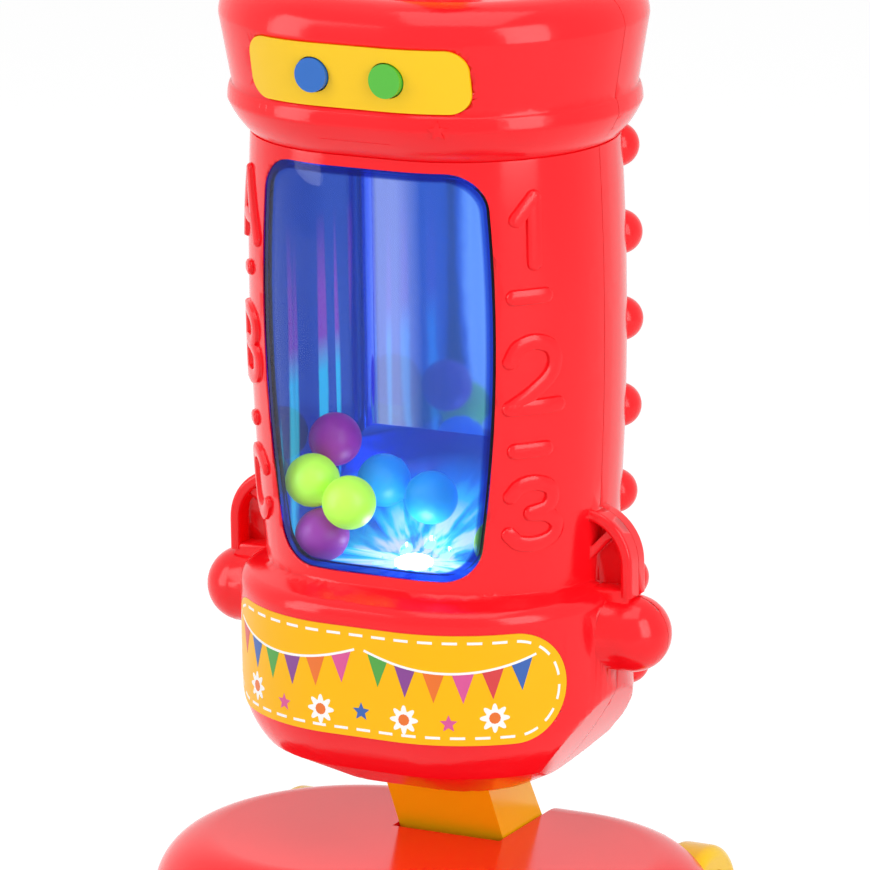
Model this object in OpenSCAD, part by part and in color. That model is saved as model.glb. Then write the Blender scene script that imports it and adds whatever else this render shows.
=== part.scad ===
// Upright toy vacuum cleaner with a windowed ball chamber, in millimetres.
// The floor is z = 0, the front faces -Y, and the body stands over the floor head.
// Body pieces are drawn around the body axis, from the crease between drum and boss.

/* [Body] */
// Height of the crease between drum and boss above the floor
crease_z = 160; // [150:1:175]
// Distance of the body axis behind the middle of the floor head
body_y = 10; // [8:0.5:14]
// Half of the flat run between the round ends of the body
body_flat = 13; // [9:0.5:16]
// Wall thickness of the body shells
wall = 2.5; // [2:0.1:3]
// Place of the seam between front and rear shell
seam_y = -5; // [-7:0.5:-3]
// Width of the seam
seam_gap = 0.3; // [0.2:0.05:0.5]

/* [Drum] */
// End radius of the drum at its belly
drum_r = 58.3; // [57:0.1:60]
// Height of the drum
drum_h = 162; // [156:1:172]
// Height of the belly above the crease
belly_z = 101.6; // [90:0.2:110]
// Radius of the barrel curve of the drum
barrel_r = 1150; // [900:10:2000]

/* [Boss] */
// End radius of the boss
boss_r = 61.8; // [60:0.1:64]
// Distance of the boss in front of the body axis
boss_shift = 4.5; // [3:0.1:6]
// Depth of the boss face below the crease
boss_face = 45; // [42:0.5:50]
// Radius of the rounded chin under the boss
chin_r = 37; // [32:0.5:40]
// Radius of the rounded shoulder edge
shoulder_round = 6; // [4:0.5:8]

/* [Window] */
// Distance of the upper window edge below the top of the drum
window_drop = 4; // [3:0.5:12]
// Height of the lower window edge
window_bottom = 5; // [4:0.5:12]
// Half of the window width at its belly
window_half = 47.9; // [44:0.1:49]
// Height of the widest place of the window
window_belly = 100; // [80:1:110]
// Radius of the bowed window sides
window_bow = 550; // [400:10:1200]
// Radius of the window corners
window_corner = 15; // [10:0.5:20]
// Thickness of the window pane
pane_t = 2.2; // [1.6:0.1:2.6]

/* [Label] */
// Length of the label round the boss
label_len = 161; // [130:1:166]
// Height of the label
label_h = 42; // [30:1:44]
// Height of the middle of the label
label_z = -32.6; // [-35:0.1:-30]
// Thickness of the label plate
label_t = 0.6; // [0.4:0.1:1]

/* [Arms and knobs] */
// Radius of the arched side arms
arm_r = 20.5; // [19:0.1:22]
// Height of the centre of the arm arch
arm_z = 7; // [5:0.5:9]
// Depth of an arm from front to back
arm_deep = 13; // [11:0.5:15]
// Width of the rim round the pocket of an arm
arm_rim = 4.5; // [3:0.1:6]
// Radius of the side knobs
knob_r = 14.4; // [13:0.1:15]
// Distance of a knob's dome centre from the middle
knob_x = 81.7; // [80:0.1:85]
// Height of the knobs
knob_z = -19.9; // [-22:0.1:-19]

/* [Studs] */
// Radius of the rear studs
stud_r = 8.4; // [6:0.1:9]
// Distance between studs
stud_pitch = 33; // [30:0.5:36]
// Distance of the top stud below the top of the drum
stud_drop = 8.8; // [8:0.2:12]
// Number of studs on each side
stud_count = 7; // [4:1:7]

/* [Collar] */
// Height of the collar without its socket
collar_h = 58; // [52:1:66]
// Largest end radius of the collar
collar_r = 67.5; // [65:0.5:70]
// Radius of the rounded upper edge of the collar
collar_round = 14; // [10:0.5:18]
// Radius of the bead along the lower edge
lip_r = 3.3; // [2.5:0.1:4]
// Reach of the bead beyond the drum
lip_reach = 6; // [5:0.1:7]
// Length of the panel round the collar
panel_len = 92; // [80:1:100]
// Height of the panel
panel_h = 24; // [20:0.5:26]
// Radius of the buttons
button_r = 6.3; // [5:0.1:7]
// Travel of the buttons
button_travel = 2; // [1:0.1:2.5]

/* [Chamber] */
// Half of the chamber width
chamber_half = 47; // [44:0.5:47.5]
// Place of the back wall of the chamber
chamber_back = 29; // [24:0.5:30]
// Wall thickness of the chamber
liner_t = 1.6; // [1.2:0.1:2]
// Height of the level front part of the floor
floor_low = 2.2; // [1.5:0.1:4]
// Height of the floor at the back wall
floor_high = 39; // [30:1:45]
// Place where the floor begins to rise
floor_bend = -14; // [-18:0.5:-8]
// Radius of the lamp lens
lens_r = 7; // [5:0.1:9]
// Radius of the balls
ball_r = 10; // [8:0.1:10]

/* [Blower] */
// Inner radius of the blower housing
blower_r = 22.5; // [20:0.1:24]
// Radius of the impeller
fan_r = 20.5; // [17:0.1:21]
// Number of impeller blades
blade_count = 9; // [5:1:12]
// Radius of the motor
motor_r = 10; // [8:0.1:12]
// Radius of the motor shaft
shaft_r = 1; // [0.8:0.05:1.5]

/* [Batteries] */
// Radius of a battery cell
cell_r = 7.2; // [6.8:0.05:7.3]
// Length of a battery cell
cell_l = 50.5; // [44:0.5:51]
// Half of the battery door width
door_half = 28; // [27:0.5:30]
// Height of the battery door
door_h = 66; // [64:0.5:70]
// Height of the lower edge of the battery door
door_z = 16; // [14:0.5:17]

/* [Handle] */
// Height of the top of the handle
handle_top = 600; // [580:1:640]
// Radius of the handle tube
tube_r = 13; // [11:0.1:14]
// Radius of the grip bar
bar_r = 11.5; // [10:0.1:13]
// Radius of the grip bow along its middle line
bow_r = 29; // [26:0.5:32]
// Straight length of the grip
grip_straight = 30; // [24:1:40]

/* [Floor head] */
// Half of the flat run between the ends of the head
head_flat = 35; // [30:0.5:40]
// End radius of the head
head_r = 75.5; // [73:0.5:78]
// Height of the top of the head
head_top = 50; // [48:0.5:52]
// Radius of the rounded upper edge of the head
head_round = 24; // [18:0.5:26]
// Wall thickness of the head
head_wall = 3; // [2.5:0.1:3.5]
// Radius of the wheels
wheel_r = 22; // [20:0.1:23]
// Width of the wheels
wheel_w = 18; // [14:0.5:20]
// Place of the wheel axle behind the middle of the head
axle_y = 53; // [52:0.5:56]
// Radius of the wheel axle
axle_r = 3; // [2:0.1:3.2]
// Place of the tilt hinge behind the middle of the head
hinge_y = 38; // [37:0.5:39]
// Height of the tilt hinge
hinge_z = 36; // [35:0.5:37]
// Radius of the hinge pin
pin_r = 4; // [3:0.1:4.5]
// Radius of the neck's knuckle
knuckle_r = 15; // [13:0.1:15]
// Width of the neck
neck_w = 44; // [36:1:46]

/* [Hidden] */
$fn = 96;
// Segments of the long shallow arcs
arc_fn = 720;
// Clearance between pieces that move past each other
clear = 0.4;
// Clearance between pieces that are fixed to each other
seat = 0.15;
// Radial clearance of a shaft in its bore
run_fit = 0.05;
// How far cuts run past the faces they cut
overrun = 1;

// Heights of the body pieces from the crease
drum_foot = -8;
bore_foot = -8;
boss_bottom = -boss_face - chin_r;
crease_r = drum_edge(0);
top_r = drum_edge(drum_h);
shoulder_share = 0.4;
shoulder_lift_share = 0.012;
body_span = 2 * (boss_r + knob_x + knob_r);

// Window seat
window_top = drum_h - window_drop;
pane_inset = 0.5;
pane_rim = 2.2;
pane_flange = 2.8;
pane_back = wall + seat + pane_t;

// Arms and knobs
arm_x = 63.7;
arm_front = -12;
arm_foot = -5;
arm_web = 4;
arm_round = 1.6;
rib_w = 3;
rib_turn = 45;
stud_turn = 42;
stud_root_share = 0.6;
stud_root = stud_root_share * wall;
stud_top = drum_h - stud_drop;

// Screws that hold the shells together
screw_r = 1.5;
screw_head_r = 3;
screw_head_t = 1.8;
screw_grip = 10;
screw_bite = 11;
post_r = 4.2;
post_x = chamber_half + liner_t + post_r + seat;
post_wall = 2;
post_drop = 24;
post_pitch = 68;
post_top_z = drum_h - post_drop;
post_mid_z = post_top_z - post_pitch;
post_low_z = -30;
post_heights = [post_top_z, post_mid_z, post_low_z];
collar_post_x = 50;
collar_post_z = drum_h + collar_h / 2;

// Collar
lip_h = 2 * lip_r;
lip_r_mid = top_r + lip_reach - lip_r;
collar_foot_r = top_r + lip_reach - lip_r / 2;
collar_bore = 50;
collar_side_top = drum_h + collar_h - collar_round;
collar_top = drum_h + collar_h;
socket_h = 14;
socket_wall = 5;
socket_floor = 12;
panel_rise = 19;
panel_z = drum_h + panel_rise;
panel_t = 1.2;
panel_proud = 0.7;
panel_corner = 8;
button_x = 15;
button_z = panel_z + panel_h / 2;
panel_half = body_flat + collar_edge(button_z) * sin(oval_turn(panel_len / 2, collar_edge(button_z)));
button_proud = 2.5;
button_flange = 1.6;
button_flange_t = 1.5;
button_stem_r = 2.5;
button_room = 1.2;
board_t = 1.6;
board_half_w = 30;
board_low = panel_z;
board_h = 28;
button_y = -collar_edge(button_z);
button_flange_r = button_r + button_flange;
button_wall_r = collar_edge(button_z - button_flange_r) - wall;
button_seat_y = -sqrt(pow(button_wall_r, 2) - pow(button_x + button_flange_r - body_flat, 2));
button_end_y = button_seat_y + button_flange_t + button_room + button_travel;
board_y = button_end_y + button_travel + button_room;
board_post_r = 3;
board_post_x = button_x + button_flange_r + board_post_r + clear;
speaker_r = 17;
speaker_t = 9;
speaker_z = collar_post_z;
speaker_y = collar_edge(speaker_z - speaker_r) - wall - clear - speaker_t;
speaker_ring = 2;
sound_hole_r = 2;
sound_ring = 8;
sound_count = 6;

// Chamber, lamp and balls
liner_corner = 6;
liner_top = window_top - liner_t;
floor_t = 2;
floor_rise = (floor_high - floor_low) / (chamber_back - floor_bend);
lens_y = -22;
lens_t = 1.4;
lens_dome = 2.2;
led_board_r = 9;
led_board_gap = 3;
led_r = 2.5;
air_hole_r = 2.4;
air_ring = 13;
air_count = 9;
// Places of the balls as shares of the chamber's half width, its depth and the ball above the floor
ball_shares = [
    [-0.755, -0.55, 4.1864], [-0.655, -1.224, 1.0436], [-0.774, -1.114, 2.9876], [-0.360, -1.379, 2.534],
    [-0.481, -0.069, 1.3775], [-0.019, -0.207, 1.3798], [0.757, -0.724, 1.0598], [0.62, 0.2, 1.3579]];
ball_inks = ["purple", "purple", "greenyellow", "greenyellow", "deepskyblue", "deepskyblue",
    "greenyellow", "deepskyblue"];

// Blower
blower_y = lens_y;
blower_wall = 1.8;
blower_floor = -36;
blower_floor_t = 2;
blower_rise = 14;
fan_low = -31;
fan_h = 15;
fan_plate = 1.5;
fan_hub_r = 5;
blade_t = 1.2;
blade_turn = 28;
motor_top = blower_floor - seat;
motor_h = 28;
motor_neck_r = 3.5;
motor_neck_h = 1.5;
shaft_low = motor_top - motor_h / 2;
shaft_top = fan_low + fan_h - fan_plate;
blade_share = 0.9;

// Battery bay
door_t = 1.8;
ledge_t = 2.5;
ledge_w = 3;
ledge_top = 11;
cell_gap = 0.8;
cell_pitch = 2 * cell_r + cell_gap;
cell_count = 3;
tray_wall = 1.4;
tray_y = chamber_back + liner_t + seat;
cell_y = tray_y + tray_wall + cell_r + seat;
contact_t = 1.6;
contact_r = 4.5;
tray_gap = 0.2;
tray_half = cell_count * cell_pitch / 2 + tray_wall;
tray_h = cell_l + 2 * (contact_t + tray_wall + tray_gap);
tray_z = door_z + (door_h - ledge_top - tray_h + ledge_w) / 2;
cell_proud = 1;
tray_deep = 2 * cell_r - cell_proud;
door_screw_z = door_z + door_h - ledge_top / 2;
door_screw_boss = 4.2;
door_screw_head = 2.8;
door_screw_l = 9;
switch_drop = 44;
switch_z = drum_h - switch_drop;
switch_w = 7;
switch_h = 10;
switch_travel = 6;
switch_proud = 1.4;
switch_plate_t = 1.4;
switch_plate_grow = 3;

// Neck and tilt hinge
neck_top = boss_bottom + wall + seat;
neck_flange_t = 3;
neck_flange = 3;
neck_front = -10;
neck_rear = 20;
hinge_body_y = hinge_y - body_y;
hinge_body_z = hinge_z - crease_z;
knuckle_back_share = 0.55;
knuckle_reach = knuckle_r * sqrt(1 - pow(knuckle_back_share, 2));

// Handle
tube_wall = 2;
tube_low = crease_z + collar_top + socket_h - socket_floor + seat;
grip_bend_top = handle_top - bar_r - bow_r;
grip_bend_low = grip_bend_top - grip_straight;
grip_foot = grip_bend_low - bow_r;
grip_wall = 4.5;
grip_socket_r = tube_r + grip_wall;
grip_socket_h = 32;
grip_socket_round = 6;
tube_top = grip_foot - bar_r / 2;
grip_split = 0.2;
grip_screw_l = 13;
grip_screw_places = [
    [bow_r, grip_bend_top], [-bow_r, grip_bend_top], [bow_r, grip_bend_low], [-bow_r, grip_bend_low]];

// Floor head
base_low = 5;
base_t = 4;
head_low = base_low + base_t;
bumper_t = 2;
bumper_low = 13;
bumper_h = 9;
neck_play = 0.8;
channel_half = neck_w / 2 + neck_play;
cheek_t = 6;
cheek_front = 10;
cheek_rear = 62;
pin_l = 2 * (channel_half + cheek_t);
wheel_x = 74;
well_gap = 3;
well_wall = 2.5;
axle_stub = 3;
axle_l = 2 * (wheel_x + wheel_w + axle_stub);
axle_z = wheel_r;
hub_r = 13;
hub_step = 2;
spoke_hole_r = 3;
spoke_ring = 8.4;
spoke_count = 5;
cap_r = 6.5;
cap_t = 4.5;
cap_gap = 0.5;
pad_r = 9;
pad_x = 70;
pad_y = -28;
base_screw_l = 14;
base_post_r = 4.5;
base_screw_wide = 60;
base_screw_front = -48;
base_screw_near = 40;
base_screw_places = [
    [base_screw_wide, base_screw_front], [-base_screw_wide, base_screw_front],
    [base_screw_near, 0], [-base_screw_near, 0]];

red = "#e8202a";
yellow = "#f5b014";
blue = "#1e6fc8";

// End radius of the drum at a height
function drum_edge(z) = drum_r - barrel_r + sqrt(pow(barrel_r, 2) - pow(z - belly_z, 2));

// End radius of the collar side at a height
function collar_edge(z) = collar_foot_r
    + (collar_r - collar_foot_r) * (z - drum_h - lip_h) / (collar_side_top - drum_h - lip_h);

// Turn, in degrees, of a place that lies a given length round an oval from its front
function oval_turn(arc, end_r) = (arc - body_flat) / end_r * 180 / PI;

module at_body() translate([0, body_y, crease_z]) children();

// Sweep of a radius and height profile round an oval with flat sides
module oval_sweep(flat) {
    for (side = [-1, 1])
        translate([side * flat, 0, 0]) rotate([0, 0, -side * 90]) rotate_extrude(angle = 180) children();
    for (turn = [90, -90])
        rotate([90, 0, turn]) linear_extrude(height = 2 * flat, center = true) children();
}

// Block in front of the seam, or behind it
module half_space(front) {
    shift = front ? -body_span + seam_y - seam_gap / 2 : seam_y + seam_gap / 2;
    translate([-body_span, shift, -body_span]) cube([2 * body_span, body_span, 3 * body_span]);
}

// Part of an oval's front between two heights, with rounded corners
module oval_patch(len, low, high, corner, end_r) {
    reach = 2 * end_r;
    oval_wedge(len / 2 - corner, low, high, end_r);
    if (high - low > 2 * corner) oval_wedge(len / 2, low + corner, high - corner, end_r);
    turn = oval_turn(len / 2 - corner, end_r);
    for (side = [-1, 1], z = [low + corner, high - corner])
        translate([side * body_flat, 0, z]) rotate([90, 0, side * turn]) cylinder(r = corner, h = reach);
}

module oval_wedge(half_arc, low, high, end_r) {
    reach = 2 * end_r;
    turn = oval_turn(half_arc, end_r);
    translate([0, 0, low]) linear_extrude(height = high - low) {
        translate([-body_flat, -reach]) square([2 * body_flat, reach]);
        for (side = [0, 1])
            mirror([side, 0]) translate([body_flat, 0])
                polygon([[0, 0], [0, -reach], [reach * sin(turn), -reach * cos(turn)]]);
    }
}

// Profiles of the body

module drum_section(inset, low, high) {
    intersection() {
        translate([drum_r - barrel_r, belly_z]) circle(r = barrel_r - inset, $fn = arc_fn);
        translate([0, low]) square([drum_r + 2 * overrun, high - low]);
    }
}

module boss_section(inset) {
    lean = sqrt(1 + pow(shoulder_share, 2));
    edge = boss_r - inset;
    bend = shoulder_round - inset;
    start_r = crease_r - boss_shift;
    bend_x = boss_r - shoulder_round;
    touch_z = -shoulder_round * lean - shoulder_share * (bend_x - start_r);
    bend_z = touch_z + shoulder_round * shoulder_lift_share;
    top_z = shoulder_share * start_r - inset * lean;
    polygon([[0, top_z], [bend_x + bend * shoulder_share / lean, touch_z + bend / lean], [bend_x, bend_z],
        [edge, bend_z], [edge, -boss_face], [0, -boss_face]]);
    translate([bend_x, bend_z]) circle(r = bend);
    intersection() {
        translate([boss_r - chin_r, -boss_face]) circle(r = chin_r - inset);
        translate([0, boss_bottom]) square([boss_r, chin_r]);
    }
    translate([0, boss_bottom + inset]) square([boss_r - chin_r, chin_r - inset]);
}

module body_solid() {
    oval_sweep(body_flat) drum_section(0, drum_foot, drum_h);
    translate([0, -boss_shift, 0]) oval_sweep(body_flat) boss_section(0);
}

module body_cavity() {
    oval_sweep(body_flat) drum_section(wall, bore_foot, drum_h + overrun);
    translate([0, -boss_shift, 0]) oval_sweep(body_flat) boss_section(wall);
}

// Outline of the window, seen from the front
module window_outline(grow) {
    corner = window_corner + grow;
    bow = window_bow + grow;
    shift = window_half - window_bow;
    heights = [window_bottom + window_corner, window_top - window_corner];
    places = [for (z = heights) shift + sqrt(pow(window_bow - window_corner, 2) - pow(z - window_belly, 2))];
    ends = [for (z = heights) z + corner * (z - window_belly) / (window_bow - window_corner)];
    intersection() {
        translate([shift, window_belly]) circle(r = bow, $fn = arc_fn);
        translate([-shift, window_belly]) circle(r = bow, $fn = arc_fn);
        translate([-window_bow, ends[0]]) square([2 * window_bow, ends[1] - ends[0]]);
    }
    for (i = [0, 1], side = [-1, 1]) translate([side * places[i], heights[i]]) circle(r = corner);
    polygon([[-places[0], window_bottom - grow], [places[0], window_bottom - grow],
        [places[1], window_top + grow], [-places[1], window_top + grow]]);
}

module window_prism(grow) rotate([90, 0, 0]) linear_extrude(height = body_span) window_outline(grow);

// Arched side arm with a pocket in its front
module arm() {
    translate([arm_x, 0, arm_z]) {
        rotate([90, 0, 0]) rotate_extrude(angle = 90) arm_section();
        rotate([180, 0, 0]) linear_extrude(height = arm_z - arm_foot) arm_section();
        arm_rib();
    }
}

// Section of the arm: a web at the back and a rounded rim
module arm_section() {
    translate([0, -arm_front - arm_deep]) square([arm_r - arm_round, arm_web]);
    translate([arm_r - arm_rim, -arm_front - arm_deep])
        square([arm_rim - arm_round, arm_deep - arm_round]);
    translate([arm_r - arm_rim + arm_round, -arm_front - arm_deep])
        square([arm_rim - 2 * arm_round, arm_deep]);
    translate([arm_r - arm_round, -arm_front - arm_deep + arm_round])
        square([arm_round, arm_deep - 2 * arm_round]);
    for (x = [arm_r - arm_rim + arm_round, arm_r - arm_round])
        translate([x, -arm_front - arm_round]) circle(r = arm_round);
    translate([arm_r - arm_round, -arm_front - arm_deep + arm_round]) circle(r = arm_round);
}

// Slanting rib across the pocket
module arm_rib() {
    rotate([0, -rib_turn, 0]) translate([0, arm_front + arm_rim / 2, -rib_w / 2])
        cube([arm_r - arm_rim / 2, arm_deep - arm_rim / 2 - arm_web / 2, rib_w]);
}

module arms() {
    difference() {
        for (side = [0, 1]) mirror([side, 0, 0]) arm();
        body_cavity();
    }
}

module knobs() {
    for (side = [0, 1]) mirror([side, 0, 0]) translate([0, seam_y, knob_z]) {
        translate([boss_r + body_flat - wall, 0, 0]) rotate([0, 90, 0])
            cylinder(r = knob_r, h = knob_x - boss_r - body_flat + wall);
        translate([knob_x, 0, 0]) sphere(r = knob_r);
    }
}

module studs() {
    for (side = [0, 1], i = [0 : stud_count - 1]) {
        z = stud_top - i * stud_pitch;
        end_r = z > 0 ? drum_edge(z) : boss_r;
        shift = z > 0 ? 0 : -boss_shift;
        mirror([side, 0, 0])
            translate([body_flat + end_r * cos(stud_turn), shift + end_r * sin(stud_turn), z])
                rotate([0, 90, stud_turn]) rotate_extrude() stud_section();
    }
}

// Half round stud on a root that sinks into the wall
module stud_section() {
    intersection() {
        circle(r = stud_r);
        square(stud_r);
    }
    translate([0, -stud_root]) square([stud_r, stud_root]);
}

// Screw along +Y, its head at the origin
module screw(length) {
    rotate([-90, 0, 0]) {
        translate([0, 0, -screw_head_t]) cylinder(r = screw_head_r, h = screw_head_t);
        cylinder(r = screw_r, h = length);
    }
}

// Places of the body's screw posts
module at_posts() {
    for (side = [-1, 1], z = post_heights) translate([side * post_x, seam_y, z]) children();
}

module at_collar_posts() {
    for (side = [-1, 1]) translate([side * collar_post_x, seam_y, collar_post_z]) children();
}

// Post behind the seam, with a deep hole for the screw head
module rear_post(reach) {
    rotate([-90, 0, 0]) translate([0, 0, seam_gap / 2]) cylinder(r = post_r, h = reach);
}

module rear_post_hole(reach) {
    rotate([-90, 0, 0]) {
        cylinder(r = screw_r + seat, h = reach);
        translate([0, 0, screw_grip]) cylinder(r = screw_head_r + seat, h = reach);
    }
}

// Post in front of the seam, on a rib from the side wall
module front_post(side) {
    rotate([90, 0, 0]) translate([0, 0, seam_gap / 2]) cylinder(r = post_r, h = screw_bite + post_wall);
    translate([side > 0 ? 0 : -post_x, -screw_bite - post_wall - seam_gap / 2, -post_wall / 2])
        cube([post_x, screw_bite + post_wall, post_wall]);
}

module front_post_hole() {
    rotate([90, 0, 0]) cylinder(r = screw_r + seat, h = screw_bite + seam_gap);
}

// Moulded front housing

module front_shell() color(red) at_body() {
    difference() {
        union() {
            intersection() {
                union() {
                    difference() {
                        body_solid();
                        body_cavity();
                    }
                    arms();
                    knobs();
                }
                half_space(true);
            }
            intersection() {
                for (side = [-1, 1], z = post_heights) translate([side * post_x, seam_y, z]) front_post(side);
                body_solid();
            }
        }
        window_prism(0);
        label_seat(0);
        neck_hole();
        at_posts() front_post_hole();
    }
}

module label_seat(gap) {
    translate([0, -boss_shift, 0]) difference() {
        oval_patch(label_len + 2 * gap, label_z - label_h / 2 - gap, label_z + label_h / 2 + gap,
            label_h / 2 + gap, boss_r);
        translate([0, 0, -boss_face - chin_r]) oval_prism(boss_r - label_t, chin_r + boss_face);
    }
}

// Upright oval block
module oval_prism(end_r, height) {
    for (side = [-1, 1]) translate([side * body_flat, 0, 0]) cylinder(r = end_r, h = height);
    translate([-body_flat, -end_r, 0]) cube([2 * body_flat, 2 * end_r, height]);
}

module label_plate() color(yellow) at_body() translate([0, -boss_shift, 0]) intersection() {
    difference() {
        translate([0, 0, boss_bottom]) oval_prism(boss_r, chin_r + boss_face);
        translate([0, 0, boss_bottom - overrun])
            oval_prism(boss_r - label_t, chin_r + boss_face + 2 * overrun);
    }
    oval_patch(label_len - 2 * seat, label_z - label_h / 2 + seat, label_z + label_h / 2 - seat,
        label_h / 2 - seat, boss_r);
}

module window() color(blue, 0.5) at_body() difference() {
    union() {
        intersection() {
            oval_sweep(body_flat) difference() {
                drum_section(pane_inset, 0, drum_h);
                drum_section(pane_back, -overrun, drum_h + overrun);
            }
            window_prism(-seat);
        }
        intersection() {
            oval_sweep(body_flat) difference() {
                drum_section(wall + seat, 0, drum_h);
                drum_section(pane_back, -overrun, drum_h + overrun);
            }
            window_prism(pane_flange);
        }
    }
    intersection() {
        oval_sweep(body_flat) drum_section(pane_inset + pane_t, 0, drum_h);
        window_prism(-pane_rim);
    }
}

// Rear housing

module rear_shell() color(red) at_body() {
    difference() {
        union() {
            intersection() {
                union() {
                    difference() {
                        body_solid();
                        body_cavity();
                    }
                    studs();
                    arms();
                    knobs();
                }
                half_space(false);
            }
            intersection() {
                at_posts() rear_post(body_span);
                body_solid();
            }
            door_ledge();
        }
        at_posts() rear_post_hole(body_span);
        door_space(0, -overrun, door_t + clear);
        door_opening();
        door_screw_hole();
        switch_slot();
        neck_hole();
    }
}

// Rear wall between two depths, behind the door
module rear_wall(outer, inner, half_w, low, high) {
    intersection() {
        oval_sweep(body_flat) difference() {
            drum_section(outer, 0, drum_h);
            drum_section(inner, -overrun, drum_h + overrun);
        }
        translate([-half_w, 0, low]) cube([2 * half_w, body_span, high - low]);
    }
}

module door_space(gap, outer, inner) {
    rear_wall(outer, inner, door_half - gap, door_z + gap, door_z + door_h - gap);
}

module door_ledge() {
    rear_wall(wall / 2, door_t + clear + ledge_t, door_half + ledge_w, door_z - ledge_w,
        door_z + door_h + ledge_w);
}

module door_opening() {
    translate([ledge_w - door_half, 0, door_z + ledge_w])
        cube([2 * (door_half - ledge_w), body_span, door_h - ledge_w - ledge_top]);
}

module at_door_screw() translate([0, drum_edge(door_screw_z), door_screw_z]) rotate([90, 0, 0]) children();

module door_screw_hole() at_door_screw() cylinder(r = screw_r + clear, h = door_screw_l + clear);

module battery_door() color(red) at_body() difference() {
    door_space(clear, 0, door_t);
    at_door_screw() translate([0, 0, -overrun]) cylinder(r = screw_r + seat, h = 2 * wall + overrun);
    at_door_screw() translate([0, 0, -overrun])
        cylinder(r = door_screw_head + seat, h = overrun + door_t / 2);
}

module battery_door_screw() color("silver") at_body() at_door_screw() {
    cylinder(r = door_screw_head, h = door_t / 2);
    cylinder(r = screw_r, h = door_screw_l);
}

module switch_slot() {
    translate([-switch_w / 2, 0, switch_z - switch_h / 2 - clear])
        cube([switch_w, body_span, switch_h + switch_travel + 2 * clear]);
}

module power_switch() color("black") at_body() {
    y = drum_edge(switch_z);
    plate_y = y - wall - 2 * clear - switch_plate_t;
    translate([clear - switch_w / 2, plate_y, switch_z - switch_h / 2])
        cube([switch_w - 2 * clear, y + switch_proud - plate_y, switch_h]);
    translate([-switch_w / 2 - switch_plate_grow, plate_y,
            switch_z - switch_h / 2 - switch_travel])
        cube([switch_w + 2 * switch_plate_grow, switch_plate_t, switch_h + 2 * switch_travel]);
}

module shell_screws() color("silver") at_body() {
    at_posts() translate([0, screw_grip, 0]) rotate([0, 0, 180]) screw(screw_grip + screw_bite - seat);
    at_collar_posts() translate([0, screw_grip, 0]) rotate([0, 0, 180]) screw(screw_grip + screw_bite - seat);
}

// Collar

module collar_section(inset) {
    foot = collar_foot_r - inset;
    edge = collar_r - inset;
    bend = collar_round - inset;
    polygon([[0, drum_h + lip_h], [foot, drum_h + lip_h], [edge, collar_side_top], [0, collar_side_top]]);
    intersection() {
        translate([collar_r - collar_round, collar_side_top]) circle(r = bend);
        translate([0, collar_side_top]) square([collar_r, collar_round]);
    }
    translate([0, collar_side_top]) square([collar_r - collar_round, bend]);
}

module collar_solid() {
    oval_sweep(body_flat) {
        collar_section(0);
        translate([0, drum_h]) square([lip_r_mid, lip_h]);
        translate([lip_r_mid, drum_h + lip_r]) circle(r = lip_r);
    }
    translate([0, 0, collar_top]) cylinder(r = tube_r + socket_wall, h = socket_h);
}

module collar_cavity() {
    oval_sweep(body_flat) collar_section(wall);
    translate([0, 0, drum_h - overrun]) oval_prism(collar_bore, lip_h + 2 * overrun);
    translate([0, 0, collar_top + socket_h - socket_floor]) cylinder(r = tube_r + seat, h = socket_h);
}

module collar_half(front) {
    intersection() {
        difference() {
            collar_solid();
            collar_cavity();
        }
        half_space(front);
    }
}

module collar_front() color(red) at_body() difference() {
    union() {
        collar_half(true);
        intersection() {
            union() {
                at_collar_posts() rotate([90, 0, 0]) cylinder(r = post_r, h = body_span);
                for (side = [-1, 1]) translate([side * board_post_x, board_y, button_z]) rotate([90, 0, 0])
                    cylinder(r = board_post_r, h = body_span);
            }
            collar_solid();
            half_space(true);
        }
    }
    at_collar_posts() front_post_hole();
    panel_seat();
    at_buttons() cylinder(r = button_r + clear, h = body_span, center = true);
}

module at_buttons() {
    for (side = [-1, 1]) translate([side * button_x, 0, button_z]) rotate([90, 0, 0])
        translate([0, 0, body_span / 2]) children();
}

module panel_skin(outer, inner) {
    oval_sweep(body_flat) difference() {
        collar_section(outer);
        collar_section(inner);
    }
}

// Block with the outline of the panel, seen from the front
module panel_prism(gap) {
    corner = panel_corner - gap;
    flat_half = panel_half - panel_corner;
    rotate([90, 0, 0]) linear_extrude(height = body_span) {
        translate([-panel_half + gap, panel_z + panel_corner])
            square([2 * (panel_half - gap), panel_h - 2 * panel_corner]);
        translate([-flat_half, panel_z + gap]) square([2 * flat_half, panel_h - 2 * gap]);
        for (side = [-1, 1], z = [panel_z + panel_corner, panel_z + panel_h - panel_corner])
            translate([side * flat_half, z]) circle(r = corner);
    }
}

module panel_seat() {
    intersection() {
        panel_skin(-wall, panel_t);
        panel_prism(0);
    }
}

module collar_panel() color(yellow) at_body() difference() {
    intersection() {
        panel_skin(-panel_proud, panel_t - seat);
        panel_prism(seat);
    }
    at_buttons() cylinder(r = button_r + clear, h = body_span, center = true);
}

// Button with a flange behind the collar wall and a stem that works the board
module sound_button(side) {
    translate([side * button_x, 0, button_z]) rotate([-90, 0, 0]) {
        translate([0, 0, button_y - button_proud])
            cylinder(r = button_r, h = button_seat_y - button_y + button_proud + button_flange_t);
        translate([0, 0, button_seat_y + clear]) cylinder(r = button_r + button_flange, h = button_flange_t);
        translate([0, 0, button_seat_y]) cylinder(r = button_stem_r, h = button_end_y - button_seat_y);
    }
}

module sound_button_left() color(blue) at_body() sound_button(-1);

module sound_button_right() color("limegreen") at_body() sound_button(1);

module main_board() color("green") at_body()
    translate([-board_half_w, board_y + seat, board_low]) cube([2 * board_half_w, board_t, board_h]);

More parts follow.
